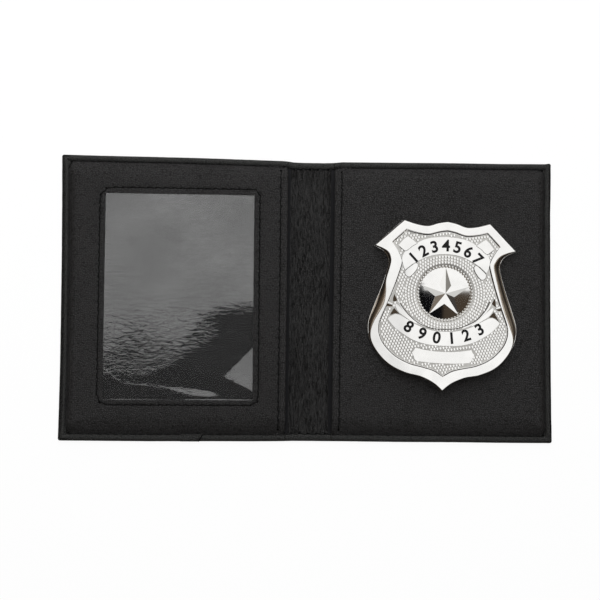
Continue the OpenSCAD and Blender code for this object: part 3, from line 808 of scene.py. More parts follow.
# Edge binding
# A narrow coated tape wraps the whole edge, under the cover and over the panels, and steps down to the
# thinner spine beside each hem. Its two ends lap on the lower edge.
tape_leather = leather("binding_tape", (0.005, 0.005, 0.005), (0.029, 0.0295, 0.0285), 0.38, 0.24, 0.65, 0.16, spread=0.22,
    grain_shade_share=0.85)
edge_top, spine_edge_top = 2.2, 1.6
top_run, bend_run, side_run = half_w - corner_r, corner_r * math.pi / 2, 2 * (half_h - corner_r)
edge_run = 2 * (top_run + bend_run) + side_run


def tape_section(seam, roll, near_hole, slit, slit_in, slit_half):
    """The tape's cross section as distances in from the edge and heights: an outer roll with a slit, a flat and the seam."""
    slit_low, slit_high = slit_in - slit_half, slit_in + slit_half
    outer = [(0.02, 0.42), (0.0, 0.8), (0.03 * roll, 1.2), (0.1 * roll, 1.5), (slit_low - 0.19, 1.74),
        (slit_low - 0.09, 1.78 - 0.2 * slit), (slit_low, 1.84 - slit), (slit_high, 1.9 - slit),
        (slit_high + 0.09, 1.95 - 0.2 * slit), (slit_high + 0.21, 2.05), (slit_high + 0.35, 2.15), (slit_high + 0.6, 2.2)]
    sink = 0.1 + 0.3 * near_hole
    inner = [(seam - 0.7, 2.2 - 0.1 * sink), (seam - 0.45, 2.12 - 0.4 * sink), (seam - 0.22, 1.98 - 0.8 * sink),
        (seam, 1.88 - sink), (seam + 0.16, 1.9 - sink), (seam + 0.3, 1.9 - sink), (seam + 0.38, 1.7 - sink),
        (seam + 0.38, 1.45)]
    under = [(0.9, 1.3), (0.45, 1.2), (0.45, 0.6), (0.8, 0.42), (3.35, 0.4)]
    return [(3.35, 0.03), (1.2, 0.0), (0.5, 0.02), (0.17, 0.14)] + outer + inner + under


def edge_point(run, inset):
    """A point beside the wallet's edge, from the top middle outwards, down the side and back below."""
    if run > edge_run / 2:
        x, y = edge_point(edge_run - run, inset)
        return x, -y
    r = max(corner_r - inset, 0.0)
    cx, cy = (top_run, half_h - corner_r) if r > 0 else (half_w - inset, half_h - inset)
    if run <= top_run:
        return min(run, cx), half_h - inset
    if run <= top_run + bend_run:
        a = math.pi / 2 - (run - top_run) / corner_r
        return cx + r * math.cos(a), cy + r * math.sin(a)
    return half_w - inset, min(half_h - corner_r - (run - top_run - bend_run), cy)


def edge_height(x):
    """Height of the tape's face: lower over the spine, higher over a panel."""
    return spine_edge_top + (edge_top - spine_edge_top) * eased((abs(x) - 8.75) / 0.5)


ends = [0, 1.5, 3, 4.9, 5.6, 6.3, 7, 7.5, 8, 8.6, 8.9, 9.05, 9.2, 9.35, 9.6, 10.1]
ends += [11 + (top_run - 11) * k / 110 for k in range(111)] + [top_run + bend_run * k / 8 for k in range(1, 9)]
runs = ends + [top_run + bend_run + side_run * k / 140 for k in range(1, 140)] + [edge_run - run for run in ends[::-1]]
for side in (-1, 1):
    shape = bmesh.new()
    sections = []
    for run in runs:
        x, y = edge_point(run, 0)
        seam = seam_in(side * x, y)
        x, y = edge_point(run, seam)
        at_side = beside(x, y)
        roll, slit_in, slit_half = (least + more * at_side for least, more in (
            ((1.0, 0.6), (0.45, 0.5), (0.07, 0.1)) if side < 0 else ((1.0, -0.5), (0.45, -0.05), (0.07, 0.06))))
        near_hole = pulled_down(side * x, y, 0.9) + 0.35 * at_side
        sections.append(tape_section(seam, roll, near_hole, 0.85 * at_side, slit_in, slit_half))
    count = len(sections[0])

    def tape_place(i, j):
        inset, z = sections[i][j % count]
        run = runs[i]
        x, y = edge_point(run, inset)
        lift = (edge_height(x) - tape_t) / (edge_top - tape_t)
        z = z if z <= tape_t else tape_t + (z - tape_t) * lift
        wobble = 0.05 * uneven(x * side * 0.35, y * 0.35, 6.0)
        if inset < 1:
            pull = wobble * (1 - inset)
            x -= pull if abs(abs(x) - half_w) < 1 else 0
            y -= math.copysign(pull, y) if abs(abs(y) - half_h) < 1 else 0
        if z > 1.4:
            z += 0.4 * wobble
        return *as_worn(side * x, y), z

    lay_grid(shape, len(runs) - 1, count, tape_place)
    close_up(shape)
    bmesh.ops.holes_fill(shape, edges=[e for e in shape.edges if e.is_boundary], sides=0)
    turn_out(shape)
    tape = make_piece(f"edge_tape_{side_name(side)}", shape, tape_leather, (f"{side_name(side)}_binding", "spine_binding"),
        50)
    over_fold(tape, side)

lap_x, lap_len, lap_steps, lap_t, lap_slant = 42.3, 7.0, 14, 0.15, 1.7
lap_section = ((0.02, 0.9), (-0.02, 1.75), (0.14, 2.14), (0.5, 2.33), (1.6, 2.35), (2.3, 2.3), (2.6, 2.2), (2.9, 2.28),
    (3.3, 2.26), (3.5, 1.9))


def lap_place(i, j):
    inset, z = lap_section[j]
    t = i / lap_steps
    x = -lap_x - lap_len * t + lap_slant * inset / tape_w * (1 - t)
    return *as_worn(x, -half_h + inset * 0.86), z - (0.2 * eased(t) if t > 0.5 else 0)


shape = bmesh.new()
lay_grid(shape, lap_steps, len(lap_section) - 1, lap_place)
turn_out(shape)
lap = make_piece("tape_lap", shape, tape_leather, (), 50)
thicken(lap, lap_t)
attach(lap, "left_half")


# Stitching
# Black thread, sewn through at every 3.2 to 3.5 mm: round the edge, beside both hems and round the window.
# A black strip along the open end of the tape's lap is painted shadow, in the same black as the painted shade of the
# needle holes, so it is made here too.
thread_r, hole_shade_r, stitch_slant, stitch_dip = 0.26, 0.6, 0.24, 0.06
thread_stuff, tree, yarn = fresh_material("black_thread", Roughness=0.75, Specular_IOR_Level=0.08)
twist_map = add_node(tree, "ShaderNodeMapping", Rotation=(0.3, 0.2, 0.78))
twist = add_node(tree, "ShaderNodeTexWave", Scale=1500.0, Distortion=0.4)
wire(tree, object_place(tree), twist_map.inputs["Vector"], twist_map.outputs[0], twist.inputs["Vector"])
ply = twist.outputs["Fac"]
wire(tree, blend_tones(tree, ply, (0.0015, 0.0015, 0.0015), (0.012, 0.012, 0.012)), yarn.inputs["Base Color"],
    relief(tree, ply, 0.05, strength=0.7), yarn.inputs["Normal"])

# The black discs over the needle holes are painted shade, a flat sheet standing in for the holes' darkness.
painted_shade_stuff, tree, hole_disc_shader = fresh_material("painted_hole_shade", Specular_IOR_Level=0.0)
hole_shade_tone = speckle(tree, object_place(tree), 2500.0)
wire(tree, blend_tones(tree, hole_shade_tone, (0.0005, 0.0005, 0.0005), (0.003, 0.003, 0.003)), hole_disc_shader.inputs["Base Color"],
    plus(tree, times(tree, hole_shade_tone, 0.1), 0.85), hole_disc_shader.inputs["Roughness"])


def sew(shape, hole_shade_discs, holes, face_height):
    """Lays one thread from needle hole to needle hole. Each stitch slants a little and dips into its holes. A flat
    black disc laid over each hole is painted shade.
    """
    parts, around = 6, 6
    path = []
    for a, b in zip(holes, holes[1:]):
        span = math.dist(a, b) or 1
        off = (-(b[1] - a[1]) / span * stitch_slant, (b[0] - a[0]) / span * stitch_slant)
        low, high = face_height(*a), face_height(*b)
        for k in range(parts):
            t = k / parts
            x, y = (p + (q - p) * t + o * (1 - 2 * t) for p, q, o in zip(a, b, off))
            level = max(face_height(x, y), low + (high - low) * t)
            path.append((*as_worn(x, y), level + stitch_dip * (math.sin(math.pi * t) ** 0.5 - 1)))
    x, y = holes[-1]
    path.append((*as_worn(x, y), face_height(x, y) - stitch_dip))

    def thread_place(i, j):
        x, y, z = path[i]
        before, after = path[max(i - 1, 0)], path[min(i + 1, len(path) - 1)]
        way = math.atan2(after[1] - before[1], after[0] - before[0])
        a = 2 * math.pi * (j % around) / around
        out = thread_r * math.cos(a)
        return x - math.sin(way) * out, y + math.cos(way) * out, z + thread_r * 0.8 * math.sin(a)

    lay_grid(shape, len(path) - 1, around, thread_place)
    for x, y in holes:
        at = Matrix.Translation(Vector((*as_worn(x, y), face_height(x, y) + 0.1)) * mm)
        bmesh.ops.create_circle(hole_shade_discs, cap_ends=True, segments=8, radius=hole_shade_r * mm, matrix=at)


def edge_face(x, y):
    lift = (edge_height(x) - tape_t) / (edge_top - tape_t)
    return tape_t + (1.38 - 0.3 * pulled_down(x, y, 0.9)) * lift


def panel_face(x, y):
    return panel_height(x, y, -1 if x < 0 else 1)


# A thin black strip along the lap's cut end: painted shadow.
def lap_shadow_place(i, j):
    x = -lap_x - 0.2 + 0.42 * j + lap_slant * (0.02 + 0.5 * i) / tape_w
    return *as_worn(x, -half_h - 0.03 + 0.43 * i), 2.42 if i else 1.92


shape = bmesh.new()
lay_grid(shape, 6, 1, lap_shadow_place)
turn_out(shape)
lap_shadow_strip = make_piece("tape_lap_shadow_strip", shape, painted_shade_stuff)
lap_shadow_strip.modifiers.new("thickness", "SOLIDIFY").thickness = 0.05 * mm
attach(lap_shadow_strip, "left_half")

for side in (-1, 1):
    panel_rows = (hem_holes[side], window_holes) if side < 0 else (hem_holes[side],)
    for kind, rows, face_height in (("edge", (edge_holes[side],), edge_face), ("panel", panel_rows, panel_face)):
        threads, holes = bmesh.new(), bmesh.new()
        for row in rows:
            sew(threads, holes, row, face_height)
        close_up(threads)
        # The holes pieces are the black discs of painted shade.
        for name, made, stuff in (("stitch", threads, thread_stuff), ("holes", holes, painted_shade_stuff)):
            piece = make_piece(f"{kind}_{name}_{side_name(side)}", made, stuff)
            if kind == "edge":
                over_fold(piece, side)
            else:
                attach(piece, f"{side_name(side)}_half")
# Badge
# A struck shield, plated and polished. Its rim and flank are one shell with a sunk field, and the beaded
# medallion, the star, the ribbons and the plate stand in the field.
badge_at = (52.625, 2.7, 4.7)
badge_tilt = math.radians(-1.9)
badge_half, badge_h = 29.25, 66.1
badge_rise, dome_fall, field_depth = 4.4, 2.4, 0.5
medallion_r, bead_r, bead_count = 10.6, 0.55, 52


def in_badge(x, y, z):
    """A point of the badge's own plan, in millimetres, put where the badge lies."""
    c, s = math.cos(badge_tilt), math.sin(badge_tilt)
    return badge_at[0] + x * c - y * s, badge_at[1] + x * s + y * c, badge_at[2] + z


def dome(x):
    return badge_rise - dome_fall * (x / badge_half) ** 2


def ground(x):
    return dome(x) - field_depth


def medallion_floor(x, y):
    """The medallion's floor, faintly domed and leaning a little towards the badge's foot."""
    return dome(medallion_r) - 2 * field_depth - 0.1 + 0.065 * y - 0.0025 * (x * x + y * y)


def smooth_run(points, steps):
    """A smooth curve through a run of points, with a number of steps for each span."""
    made = []
    for i in range(len(points) - 1):
        a, b, c = points[max(i - 1, 0)], points[i], points[i + 1]
        d = points[min(i + 2, len(points) - 1)]
        for k in range(steps):
            t = k / steps
            made.append(tuple(q + ((r - p) * t + (2 * p - 5 * q + 4 * r - s) * t * t
                + (3 * q - p - 3 * r + s) * t ** 3) / 2 for p, q, r, s in zip(a, b, c, d)))
    return made


def straight_run(points, steps):
    return [tuple(a + (b - a) * k / steps for a, b in zip(p, q)) for p, q in zip(points, points[1:]) for k in range(steps)]


def whole_side(top, tip, side_points):
    return smooth_run(top, 7) + straight_run([top[-1]] + tip, 3) + smooth_run(side_points, 7) + [side_points[-1]]


def whole_ring(half):
    """The right side and its mirror image, clockwise from the top middle."""
    return half + [(-p[0], *p[1:]) if len(p) > 1 else p for p in half[-2:0:-1]]


outline = whole_ring(whole_side(
    [(0, 0.428), (0.12, 0.418), (0.26, 0.399), (0.41, 0.406), (0.58, 0.428)],
    [(0.68, 0.388), (0.82, 0.328), (0.957, 0.2685)],
    [(0.957, 0.2685), (0.82, 0.236), (0.762, 0.196), (0.757, 0.154), (0.815, 0.0635), (0.868, -0.006), (0.93, -0.0787),
        (1, -0.1815), (0.985, -0.268), (0.9, -0.345), (0.73, -0.424), (0.503, -0.472), (0.291, -0.493), (0.12, -0.528),
        (0, -0.5725)]))
field_edge = whole_ring(whole_side(
    [(0, 0.371), (0.11, 0.362), (0.25, 0.345), (0.4, 0.351), (0.545, 0.368)],
    [(0.6, 0.345), (0.665, 0.318), (0.728, 0.29)],
    [(0.728, 0.29), (0.65, 0.24), (0.605, 0.2), (0.595, 0.165), (0.655, 0.07), (0.713, -0.006), (0.775, -0.082), (0.865, -0.19),
        (0.86, -0.255), (0.79, -0.316), (0.645, -0.378), (0.455, -0.42), (0.265, -0.44), (0.12, -0.458), (0, -0.4895)]))
flank_right = whole_side([(0.1,)] * 5, [(0.1,), (0.1,), (0.06,)], [(f,) for f in
    (0.06, 0.45, 0.6, 0.66, 0.7, 0.76, 0.82, 0.74, 0.3, 0.12, 0.06, 0.06, 0.06, 0.06, 0.06)])
flank_left = whole_side([(0.1,)] * 5, [(0.1,), (0.1,), (0.06,)], [(f,) for f in
    (0.06, 0.2, 0.14, 0.08, 0.14, 0.5, 0.72, 0.46, 0.12, 0.05, 0.05, 0.05, 0.05, 0.05, 0.06)])
flank = flank_right + flank_left[-2:0:-1]
outline = [(x * badge_half, y * badge_h) for x, y in outline]
field_edge = [(x * badge_half, y * badge_h) for x, y in field_edge]
crest = [(a[0] + (b[0] - a[0]) * f[0], a[1] + (b[1] - a[1]) * f[0]) for a, b, f in zip(outline, field_edge, flank)]
ring_size = len(outline)


def toward(p, q, far, most=0.45):
    """A point that many millimetres from p on the way to q, and never past a share of the way."""
    share = min(far / max(math.dist(p, q), 0.01), most)
    return p[0] + (q[0] - p[0]) * share, p[1] + (q[1] - p[1]) * share


def on_dome(ring, drop):
    """A ring of points at a drop below the dome."""
    return [(x, y, dome(x) - drop) for x, y in ring]


def shell_rings():
    """Rings of the shell from its foot to the medallion's middle, as points and heights."""
    rings = [[(x, y, z) for x, y in outline] for z in (0.0, 0.2, 0.35)]
    for far, z in ((0.05, 0.46), (0.13, 0.52), (0.24, 0.54)):
        rings.append([(*toward(p, q, far, far), z) for p, q in zip(outline, crest)])
    for share in (0.25, 0.4, 0.55, 0.7, 0.82, 0.91, 0.97):
        rise = 1 - (1 - (share - 0.2) / 0.8) ** 1.9
        rings.append([(*toward(p, q, 99, share), 0.54 + (dome(q[0]) - 0.74) * rise) for p, q in zip(outline, crest)])
    for far, drop in ((0.0, 0.2), (0.04, 0.09), (0.08, 0.03), (0.14, 0.0), (0.5, 0.0)):
        rings.append(on_dome([toward(p, q, far) for p, q in zip(crest, field_edge)], drop))
    for far, drop in ((1.2, 0.0), (0.5, 0.0), (0.22, 0.0), (0.08, 0.02)):
        rings.append(on_dome([toward(q, p, far) for p, q in zip(crest, field_edge)], drop))
    for far, drop in ((0.0, 0.06), (0.3, 0.43), (0.38, 0.49), (0.5, 0.5)):
        rings.append(on_dome([toward(q, (0, 0), far) for q in field_edge], drop))
    turns = [math.atan2(y, x) for x, y in field_edge]
    for t in (k / 8 for k in range(1, 9)):
        starts = [toward(q, (0, 0), 0.5) for q in field_edge]
        rings.append(on_dome([(x * (1 - t) + 11.1 * math.cos(a) * t, y * (1 - t) + 11.1 * math.sin(a) * t)
            for (x, y), a in zip(starts, turns)], field_depth))
    rings.append(on_dome([(10.75 * math.cos(a), 10.75 * math.sin(a)) for a in turns], field_depth + 0.1))
    for r in (10.35, 10.2, 9, 8, 7, 6, 5, 4, 3, 2, 1, 0):
        rings.append([(r * math.cos(a), r * math.sin(a), medallion_floor(r * math.cos(a), r * math.sin(a))) for a in turns])
    return rings


def plated(name, colour, rough, ripple_deep, ripple_size, dull=None):
    """Bright plating with faint ripples, and where asked a duller tone in soft patches: tarnish on the brass, painted
    reflection on the flank.
    """
    material, tree, metal = fresh_material(name, Metallic=1)
    haze = speckle(tree, object_place(tree), 180.0, Detail=4.0, Roughness=0.6)
    ripple = speckle(tree, object_place(tree), 1000 / ripple_size, Detail=2.0)
    tone = blend_tones(tree, step_up(tree, haze, 0.3, 0.7), colour, dull or [c * 0.94 for c in colour])
    wire(tree, tone, metal.inputs["Base Color"], relief(tree, ripple, ripple_deep), metal.inputs["Normal"],
        plus(tree, times(tree, haze, 0.05), rough - 0.025), metal.inputs["Roughness"])
    return material
bright_plate = plated("bright_plating", (0.94, 0.933, 0.912), 0.06, 0.005, 5.0)
field_plate = plated("field_plating", (0.96, 0.955, 0.935), 0.08, 0.004, 1.0)
# The flank's brown, in soft patches, is a painted reflection and not the plating's colour.
flank_reflection_plate = plated("flank_painted_reflection", (0.56, 0.49, 0.41), 0.22, 0.02, 2.5, (0.42, 0.36, 0.30))
# The field's ground is greyer and rougher than the grains: the roughness is its finish, the grey is painted shade
# between the grains.
ground_shade_plate = plated("struck_ground_shade", (0.66, 0.65, 0.62), 0.3, 0.01, 1.0)
# The near-black recess finish is painted shade: on the walls at the field's edge, on the ribbons' chamfers and along
# the narrow dark strips.
recess_shade_plate = plated("recess_painted_shade", (0.10, 0.09, 0.08), 0.4, 0.01, 1.0)

rings = shell_rings()
shape = bmesh.new()
lay_grid(shape, ring_size, len(rings) - 1, lambda i, j: in_badge(*rings[j][i % ring_size]))
close_up(shape, 0.004)
bmesh.ops.holes_fill(shape, edges=[e for e in shape.edges if e.is_boundary], sides=0)
turn_out(shape)
shell = make_piece("badge_shell", shape, bright_plate, ("badge",), 24)
for stuff in (ground_shade_plate, flank_reflection_plate, recess_shade_plate):
    shell.data.materials.append(stuff)


def badge_plan(point):
    """The badge's own x and y of a point in the frame, in millimetres."""
    dx, dy = point[0] / mm - badge_at[0], point[1] / mm - badge_at[1]
    c, s = math.cos(-badge_tilt), math.sin(-badge_tilt)
    return dx * c - dy * s, dx * s + dy * c


def inside_ring(x, y, ring):
    crossings = 0
    for (ax, ay), (bx, by) in zip(ring, ring[1:] + ring[:1]):
        if (ay > y) != (by > y) and x < ax + (y - ay) * (bx - ax) / (by - ay):
            crossings += 1
    return crossings % 2 == 1


field_inner = [toward(q, (0, 0), 0.45) for q in field_edge]
near_edge = [toward(q, (0, 0), 0.02) for q in field_edge[::4]]
for face in shell.data.polygons:
    x, y = badge_plan(face.center)
    # Upward faces of the field take the grey ground of painted shade.
    if math.hypot(x, y) > 10.9 and inside_ring(x, y, field_inner) and face.normal.z > 0.3:
        face.material_index = 1
    # Steep walls just inside the field's edge take the near-black of painted shade.
    elif math.hypot(x, y) > 11 and inside_ring(x, y, near_edge) and face.normal.z < 0.8:
        face.material_index = 3
    # The flank outside the crest takes the brown of painted reflection.
    elif face.center.z > (badge_at[2] + 0.56) * mm and not inside_ring(x, y, crest):
        face.material_index = 2
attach(shell, "right_half")
# Ribbons, leaves and plate of the badge
# Flat raised shapes with a small chamfer. The upper ribbon has folded flag ends and a leaf under each,
# the lower one hangs between two curved strips, and a plain plate with notched corners stands under it.
def mirrored_run(half):
    """A run of points from the middle to the left, closed by its mirror image on the right."""
    return half + [(-x, y) for x, y in half[::-1] if abs(x) > 0.01]


def mirrored(points):
    return [(-x, y) for x, y in points]


def raised(shape, points, lift, edge, lean, skirt=0.5):
    """Raises one flat shape over the field on the dome, with a chamfer, a lean and a skirt down into the field. The
    faces along its border take the second material, which on the ribbons is the dark painted shade.
    """
    part = bmesh.new()
    face = part.faces.new([part.verts.new((x, y, 0)) for x, y in points])
    if sum(a[0] * b[1] - b[0] * a[1] for a, b in zip(points, points[1:] + points[:1])) < 0:
        face.normal_flip()
    bmesh.ops.inset_region(part, faces=[face], thickness=edge, use_even_offset=True, use_boundary=True)
    low, high = min(p[0] for p in points), max(p[0] for p in points)
    cuts = int((high - low) / 1.6)
    for k in range(1, cuts + 1):
        bmesh.ops.bisect_plane(part, geom=everything(part), dist=0.01, plane_co=(low + (high - low) * k / (cuts + 1), 0, 0),
            plane_no=(1, 0, 0))
    bmesh.ops.triangulate(part, faces=[f for f in part.faces if len(f.verts) > 4])
    mid = (sum(p[0] for p in points) / len(points), sum(p[1] for p in points) / len(points))
    for vert in part.verts:
        x, y = vert.co.x, vert.co.y
        drop = 0.8 * edge if any(e.is_boundary for e in vert.link_edges) else 0
        vert.co.z = ground(x) + lift - drop + lean[0] * (x - mid[0]) + lean[1] * (y - mid[1])
    border = [e for e in part.edges if e.is_boundary]
    for face in part.faces:
        if any(e.is_boundary for e in face.edges):
            face.material_index = 1
    walls = bmesh.ops.extrude_edge_only(part, edges=border)["geom"]
    for vert in [g for g in walls if isinstance(g, bmesh.types.BMVert)]:
        vert.co.z = ground(vert.co.x) + min(lift, 0.2) - skirt
    turn_out(part)
    top = max(part.faces, key=lambda f: f.calc_area())
    if top.normal.z < 0:
        bmesh.ops.reverse_faces(part, faces=part.faces)
    for vert in part.verts:
        vert.co = Vector(in_badge(*vert.co)) * mm
    kept = bpy.data.meshes.new("raised")
    part.to_mesh(kept)
    part.free()
    shape.from_mesh(kept)
    bpy.data.meshes.remove(kept)

upper_ribbon = mirrored_run(
    smooth_run([(0, 22.0), (-5.0, 21.6), (-8.8, 20.7), (-11.86, 19.0), (-16.07, 15.91)], 4)
    + smooth_run([(-16.07, 15.91), (-17.0, 14.4), (-17.3, 12.6), (-16.7, 10.2), (-15.98, 8.6)], 3) + [(-15.98, 8.6)]
    + smooth_run([(-13.45, 10.81), (-9.9, 12.84), (-6.2, 14.4), (-3, 15.1), (0, 15.3)], 4) + [(0, 15.3)])
flag_end = [(-11.6, 19.0), (-13.4, 20.4), (-15.34, 21.74), (-16.8, 20.55), (-18.77, 18.21), (-18.47, 17.66), (-15.4, 15.4)]
leaf_corners = [(-15.98, 8.2), (-13.45, 10.4), (-11.79, 11.3), (-10.99, 10.37), (-11.86, 8.28), (-14.02, 5.94),
    (-15.73, 6.61), (-15.98, 8.2)]
leaf = smooth_run(leaf_corners, 3)
lower_ribbon = mirrored_run(
    smooth_run([(0, -14.85), (-3.6, -14.7), (-7.3, -13.95), (-10.9, -12.55), (-14.6, -10.5), (-17.3, -9.1), (-18.99, -8.76)], 4)
    + smooth_run([(-18.99, -8.76), (-20.46, -9.4), (-21.9, -10.64), (-20.72, -12.3), (-18.79, -14.3), (-15.92, -16.3)], 3)
    + smooth_run([(-15.92, -16.3), (-11.9, -18.5), (-7.2, -19.85), (-3.2, -20.25), (0, -20.3)], 4) + [(0, -20.3)])
strip = (smooth_run([(-19.3, -5.5), (-18.95, -4.75), (-17.8, -5.6), (-16.2, -7.1), (-14.7, -8.5), (-12.9, -10.2),
        (-10.9, -11.8)], 3)
    + smooth_run([(-10.9, -11.8), (-10.6, -12.3), (-12.9, -11.3), (-14.9, -10.0), (-16.9, -8.7), (-18.1, -7.6),
        (-19.3, -5.5)], 3))
inner_strip = (smooth_run([(-18.7, -2.6), (-18.1, -3.0), (-16.9, -5.1), (-15.2, -7.4), (-13.0, -9.5), (-10.3, -11.3)], 3)
    + smooth_run([(-10.3, -11.3), (-7.3, -12.9), (-7.5, -13.3), (-10.7, -11.9), (-13.5, -9.9), (-15.9, -7.4), (-17.6, -5.1),
        (-18.7, -2.6)], 3))
upper_wedge = [(-19.74, -1.08), (-18.5, -3.4), (-20.27, -4.45), (-20.1, -2.39)]
bar = [(-22.6, -3.7), (-20.35, -4.7), (-20.35, -5.2), (-22.7, -4.3)]
bar_shade = [(-23.24, -4.6), (-20.4, -5.3), (-20.4, -5.85), (-23.2, -5.8)]
lower_wedge = [(-19.63, -6.46), (-17.5, -8.6), (-19.2, -8.5), (-20.47, -9.0), (-21.91, -10.3)]
plate = mirrored_run([(0, -22.65), (-3.2, -22.6), (-7.1, -22.2), (-11.0, -21.5), (-11.5, -22.6), (-12.2, -23.3),
    (-11.4, -25.0), (-11.1, -25.9), (-10.2, -26.6), (-5, -27.0), (0, -27.1)])

shape = bmesh.new()
covers = []
for points, lift, edge, lean, two in (
        (upper_ribbon, 0.42, 0.2, (0, 0), False), (flag_end, 0.2, 0.12, (0, 0), True), (leaf, 0.26, 0.24, (0, 0.02), True),
        (lower_ribbon, 0.4, 0.16, (0, 0), False), (strip, 0.3, 0.2, (0, 0), True), (inner_strip, 0.16, 0.14, (0, 0), True),
        (upper_wedge, 0.12, 0.05, (0.075, 0.1), True), (lower_wedge, 0.14, 0.05, (0.075, 0.1), True),
        (bar, 0.3, 0.12, (0, 0), True), (bar_shade, 0.1, 0.05, (0.075, 0.12), True), (plate, 0.3, 0.2, (0, 0), False)):
    for run in (points, mirrored(points)[::-1]) if two else (points,):
        raised(shape, run, lift, edge, lean)
        covers.append(run)
def fine_line(shape, points, width, lift):
    """A narrow dark strip along a line of the badge's plan: a painted shadow line."""
    points = smooth_run(points, 4) + [points[-1]]

    def line_place(i, j):
        (ax, ay), (bx, by) = points[max(i - 1, 0)], points[min(i + 1, len(points) - 1)]
        far = (j - 0.5) * width / math.dist((ax, ay), (bx, by))
        x, y = points[i][0] + (by - ay) * far, points[i][1] - (bx - ax) * far
        return in_badge(x, y, ground(x) + lift)

    made = lay_grid(shape, len(points) - 1, 1, line_place)
    for face in {f for v in made for f in v.link_faces}:
        face.material_index = 1
        if face.normal.z < 0:
            face.normal_flip()


fine_line(shape, [(-17.5, -4.44), (-15.86, -6.7), (-13.42, -9.3), (-10.61, -11.51), (-7.43, -13.0), (-3.5, -13.9), (1, -14.0),
    (5, -13.4), (8.22, -12.33), (12.08, -10.34), (14.75, -7.69), (16.63, -4.88), (17.74, -2.49)], 0.3, 0.34)
fold_line = [(-11.6, 19.0), (-13.4, 17.9), (-16.07, 15.91), (-18.47, 17.66)]
for points, lift in ((leaf_corners, 0.3), (fold_line, 0.47)):
    fine_line(shape, points, 0.16, lift)
    fine_line(shape, mirrored(points), 0.16, lift)
bands = make_piece("badge_bands", shape, bright_plate, (), 15)
bands.data.materials.append(recess_shade_plate)
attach(bands, "right_half")
# Pebbled field
# Small raised grains, struck in rows round the medallion and in a slanting lattice over the rest of the field.
pebble_pitch, pebble_r, pebble_tall = 1.2, 0.52, 0.24


def covered(x, y, round_r=0.42):
    """Whether a ribbon, leaf or plate, or the medallion, covers any of a grain's place in the field."""
    spots = [(x, y)] + [(x + round_r * math.cos(k * math.pi / 3), y + round_r * math.sin(k * math.pi / 3)) for k in range(6)]
    return math.hypot(x, y) < 11.55 or any(inside_ring(*spot, ring) for ring in covers for spot in spots) or not all(
        inside_ring(*spot, field_inner) for spot in spots)


pebbles = []
for k in range(4):
    r = 12.1 + 1.1 * k
    count = round(2 * math.pi * r / pebble_pitch)
    turns = [2 * math.pi * (n + 0.5 * k) / count for n in range(count)]
    pebbles += [(r * math.cos(a), r * math.sin(a)) for a in turns]
for i in range(-60, 61):
    for j in range(-44, 45):
        x, y = (i + (j % 2) * 0.5) * pebble_pitch, j * pebble_pitch * 0.87
        x, y = x * 0.985 - y * 0.17, x * 0.17 + y * 0.985
        if abs(x) < badge_half and math.hypot(x, y) > 15.95:
            pebbles.append((x, y))
shape = bmesh.new()
for x, y in pebbles:
    if covered(x, y):
        continue
    tall = pebble_tall + 0.03 * uneven(x, y, 0.5)
    for low_r, high_r, deep, level, cap in ((pebble_r + 0.04, pebble_r, tall, tall / 2 - 0.02, False),
            (pebble_r, 0.4, 0.06, tall + 0.01, True)):
        at = Matrix.Translation(Vector(in_badge(x, y, ground(x) + level)) * mm)
        bmesh.ops.create_cone(shape, cap_ends=cap, segments=8, radius1=low_r * mm, radius2=high_r * mm, depth=deep * mm,
            matrix=at)
doubled = [f for f in shape.faces if len(f.verts) == 8 and f.normal.z < 0]
bmesh.ops.delete(shape, geom=doubled, context="FACES_ONLY")
bmesh.ops.remove_doubles(shape, verts=shape.verts, dist=0.002 * mm)
grains = make_piece("field_pebbles", shape, field_plate, (), 24)
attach(grains, "right_half")


# Medallion's beads and star
# A ring of beads borders the medallion, and a faceted star with five arms stands in it.
shape = bmesh.new()
for k in range(bead_count):
    a = 2 * math.pi * k / bead_count
    x, y = medallion_r * math.cos(a), medallion_r * math.sin(a)
    at = Matrix.Translation(Vector(in_badge(x, y, ground(x) + 0.04)) * mm) @ Matrix.Diagonal((1, 1, 0.5, 1))
    bmesh.ops.create_uvsphere(shape, u_segments=10, v_segments=7, radius=bead_r * mm, matrix=at)
beads = make_piece("medallion_beads", shape, bright_plate, ())
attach(beads, "right_half")

shape = bmesh.new()
star_r, notch, star_rise = 10.1, 0.39, 1.5
corners = []
for k in range(10):
    a = math.pi / 2 - k * math.pi / 5
    r = star_r * (1 if k % 2 == 0 else notch)
    corners.append((r * math.cos(a), r * math.sin(a)))
foot = [shape.verts.new(Vector(in_badge(x, y, medallion_floor(x, y) - 0.3)) * mm) for x, y in corners]
base = shape.faces.new(foot)
raised_star = bmesh.ops.extrude_face_region(shape, geom=[base])["geom"]
for vert in [g for g in raised_star if isinstance(g, bmesh.types.BMVert)]:
    vert.co.z += 0.42 * mm
caps = [g for g in raised_star if isinstance(g, bmesh.types.BMFace)]
poked = bmesh.ops.poke(shape, faces=caps)["verts"]
for vert in poked:
    vert.co = Vector(in_badge(0, 0, medallion_floor(0, 0) + 0.1 + star_rise)) * mm
turn_out(shape)
star = make_piece("medallion_star", shape, bright_plate, (), 3)
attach(star, "right_half")


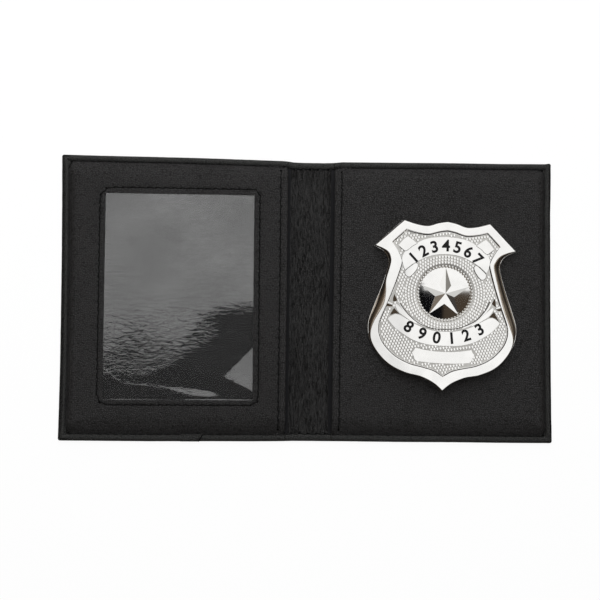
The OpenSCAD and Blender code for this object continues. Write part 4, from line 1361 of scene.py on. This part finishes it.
# Enamel digits
# Plain digits in black enamel on the two ribbons.
enamel, tree, glaze = fresh_material("black_enamel", Specular_IOR_Level=0.15)
speck = speckle(tree, object_place(tree), 1500.0, Detail=3.0)
wire(tree, blend_tones(tree, speck, (0.004, 0.004, 0.004), (0.012, 0.012, 0.012)), glaze.inputs["Base Color"],
    plus(tree, times(tree, speck, 0.15), 0.35), glaze.inputs["Roughness"])
digit_size = 6.2


def digit_shape(shape, digit, place, turn, lift):
    """Sets one digit, centred at a place of the badge's plan, on the face of its ribbon."""
    text = bpy.data.curves.new("digit", "FONT")
    text.body = digit
    text.size = digit_size
    text.align_x = "CENTER"
    text.align_y = "CENTER"
    text.extrude = 0.01
    text.offset = 0.05
    text.bevel_depth = 0.13
    text.bevel_resolution = 0
    holder = bpy.data.objects.new("digit", text)
    scene.collection.objects.link(holder)
    bpy.context.view_layer.update()
    mesh = bpy.data.meshes.new_from_object(holder)
    before = set(shape.verts)
    shape.from_mesh(mesh)
    c, s = math.cos(turn), math.sin(turn)
    for vert in set(shape.verts) - before:
        dx, dy = vert.co.x, vert.co.y
        x, y = place[0] + dx * c - dy * s, place[1] + dx * s + dy * c
        vert.co = Vector(in_badge(x, y, ground(x) + lift + vert.co.z)) * mm
    bpy.data.objects.remove(holder)
    bpy.data.meshes.remove(mesh)
    bpy.data.curves.remove(text)


shape = bmesh.new()
for row, middle, step, r, centre_y, way, lift in (("1234567", 91.2, -14.2, 18.4, 0.0, -1, 0.43),
        ("890123", 270.2, 12.9, 26.2, 8.6, 1, 0.41)):
    for k, digit in enumerate(row):
        a = math.radians(middle + (k - (len(row) - 1) / 2) * step)
        digit_shape(shape, digit, (r * math.cos(a), centre_y + r * math.sin(a)), a + way * math.pi / 2, lift)
bmesh.ops.triangulate(shape, faces=[f for f in shape.faces if len(f.verts) > 4])
digits = make_piece("enamel_digits", shape, enamel, (), 40)
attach(digits, "right_half")


# Studs and clips
# Two brass posts behind the badge pass through the panel, and a push-on clip holds each one.
brass = plated("plain_brass", (0.74, 0.58, 0.30), 0.3, 0.02, 1.5, (0.62, 0.46, 0.22))
for node in ("badge_studs", "stud_clips"):
    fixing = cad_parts[node]
    fixing.data.materials.clear()
    fixing.data.materials.append(brass)
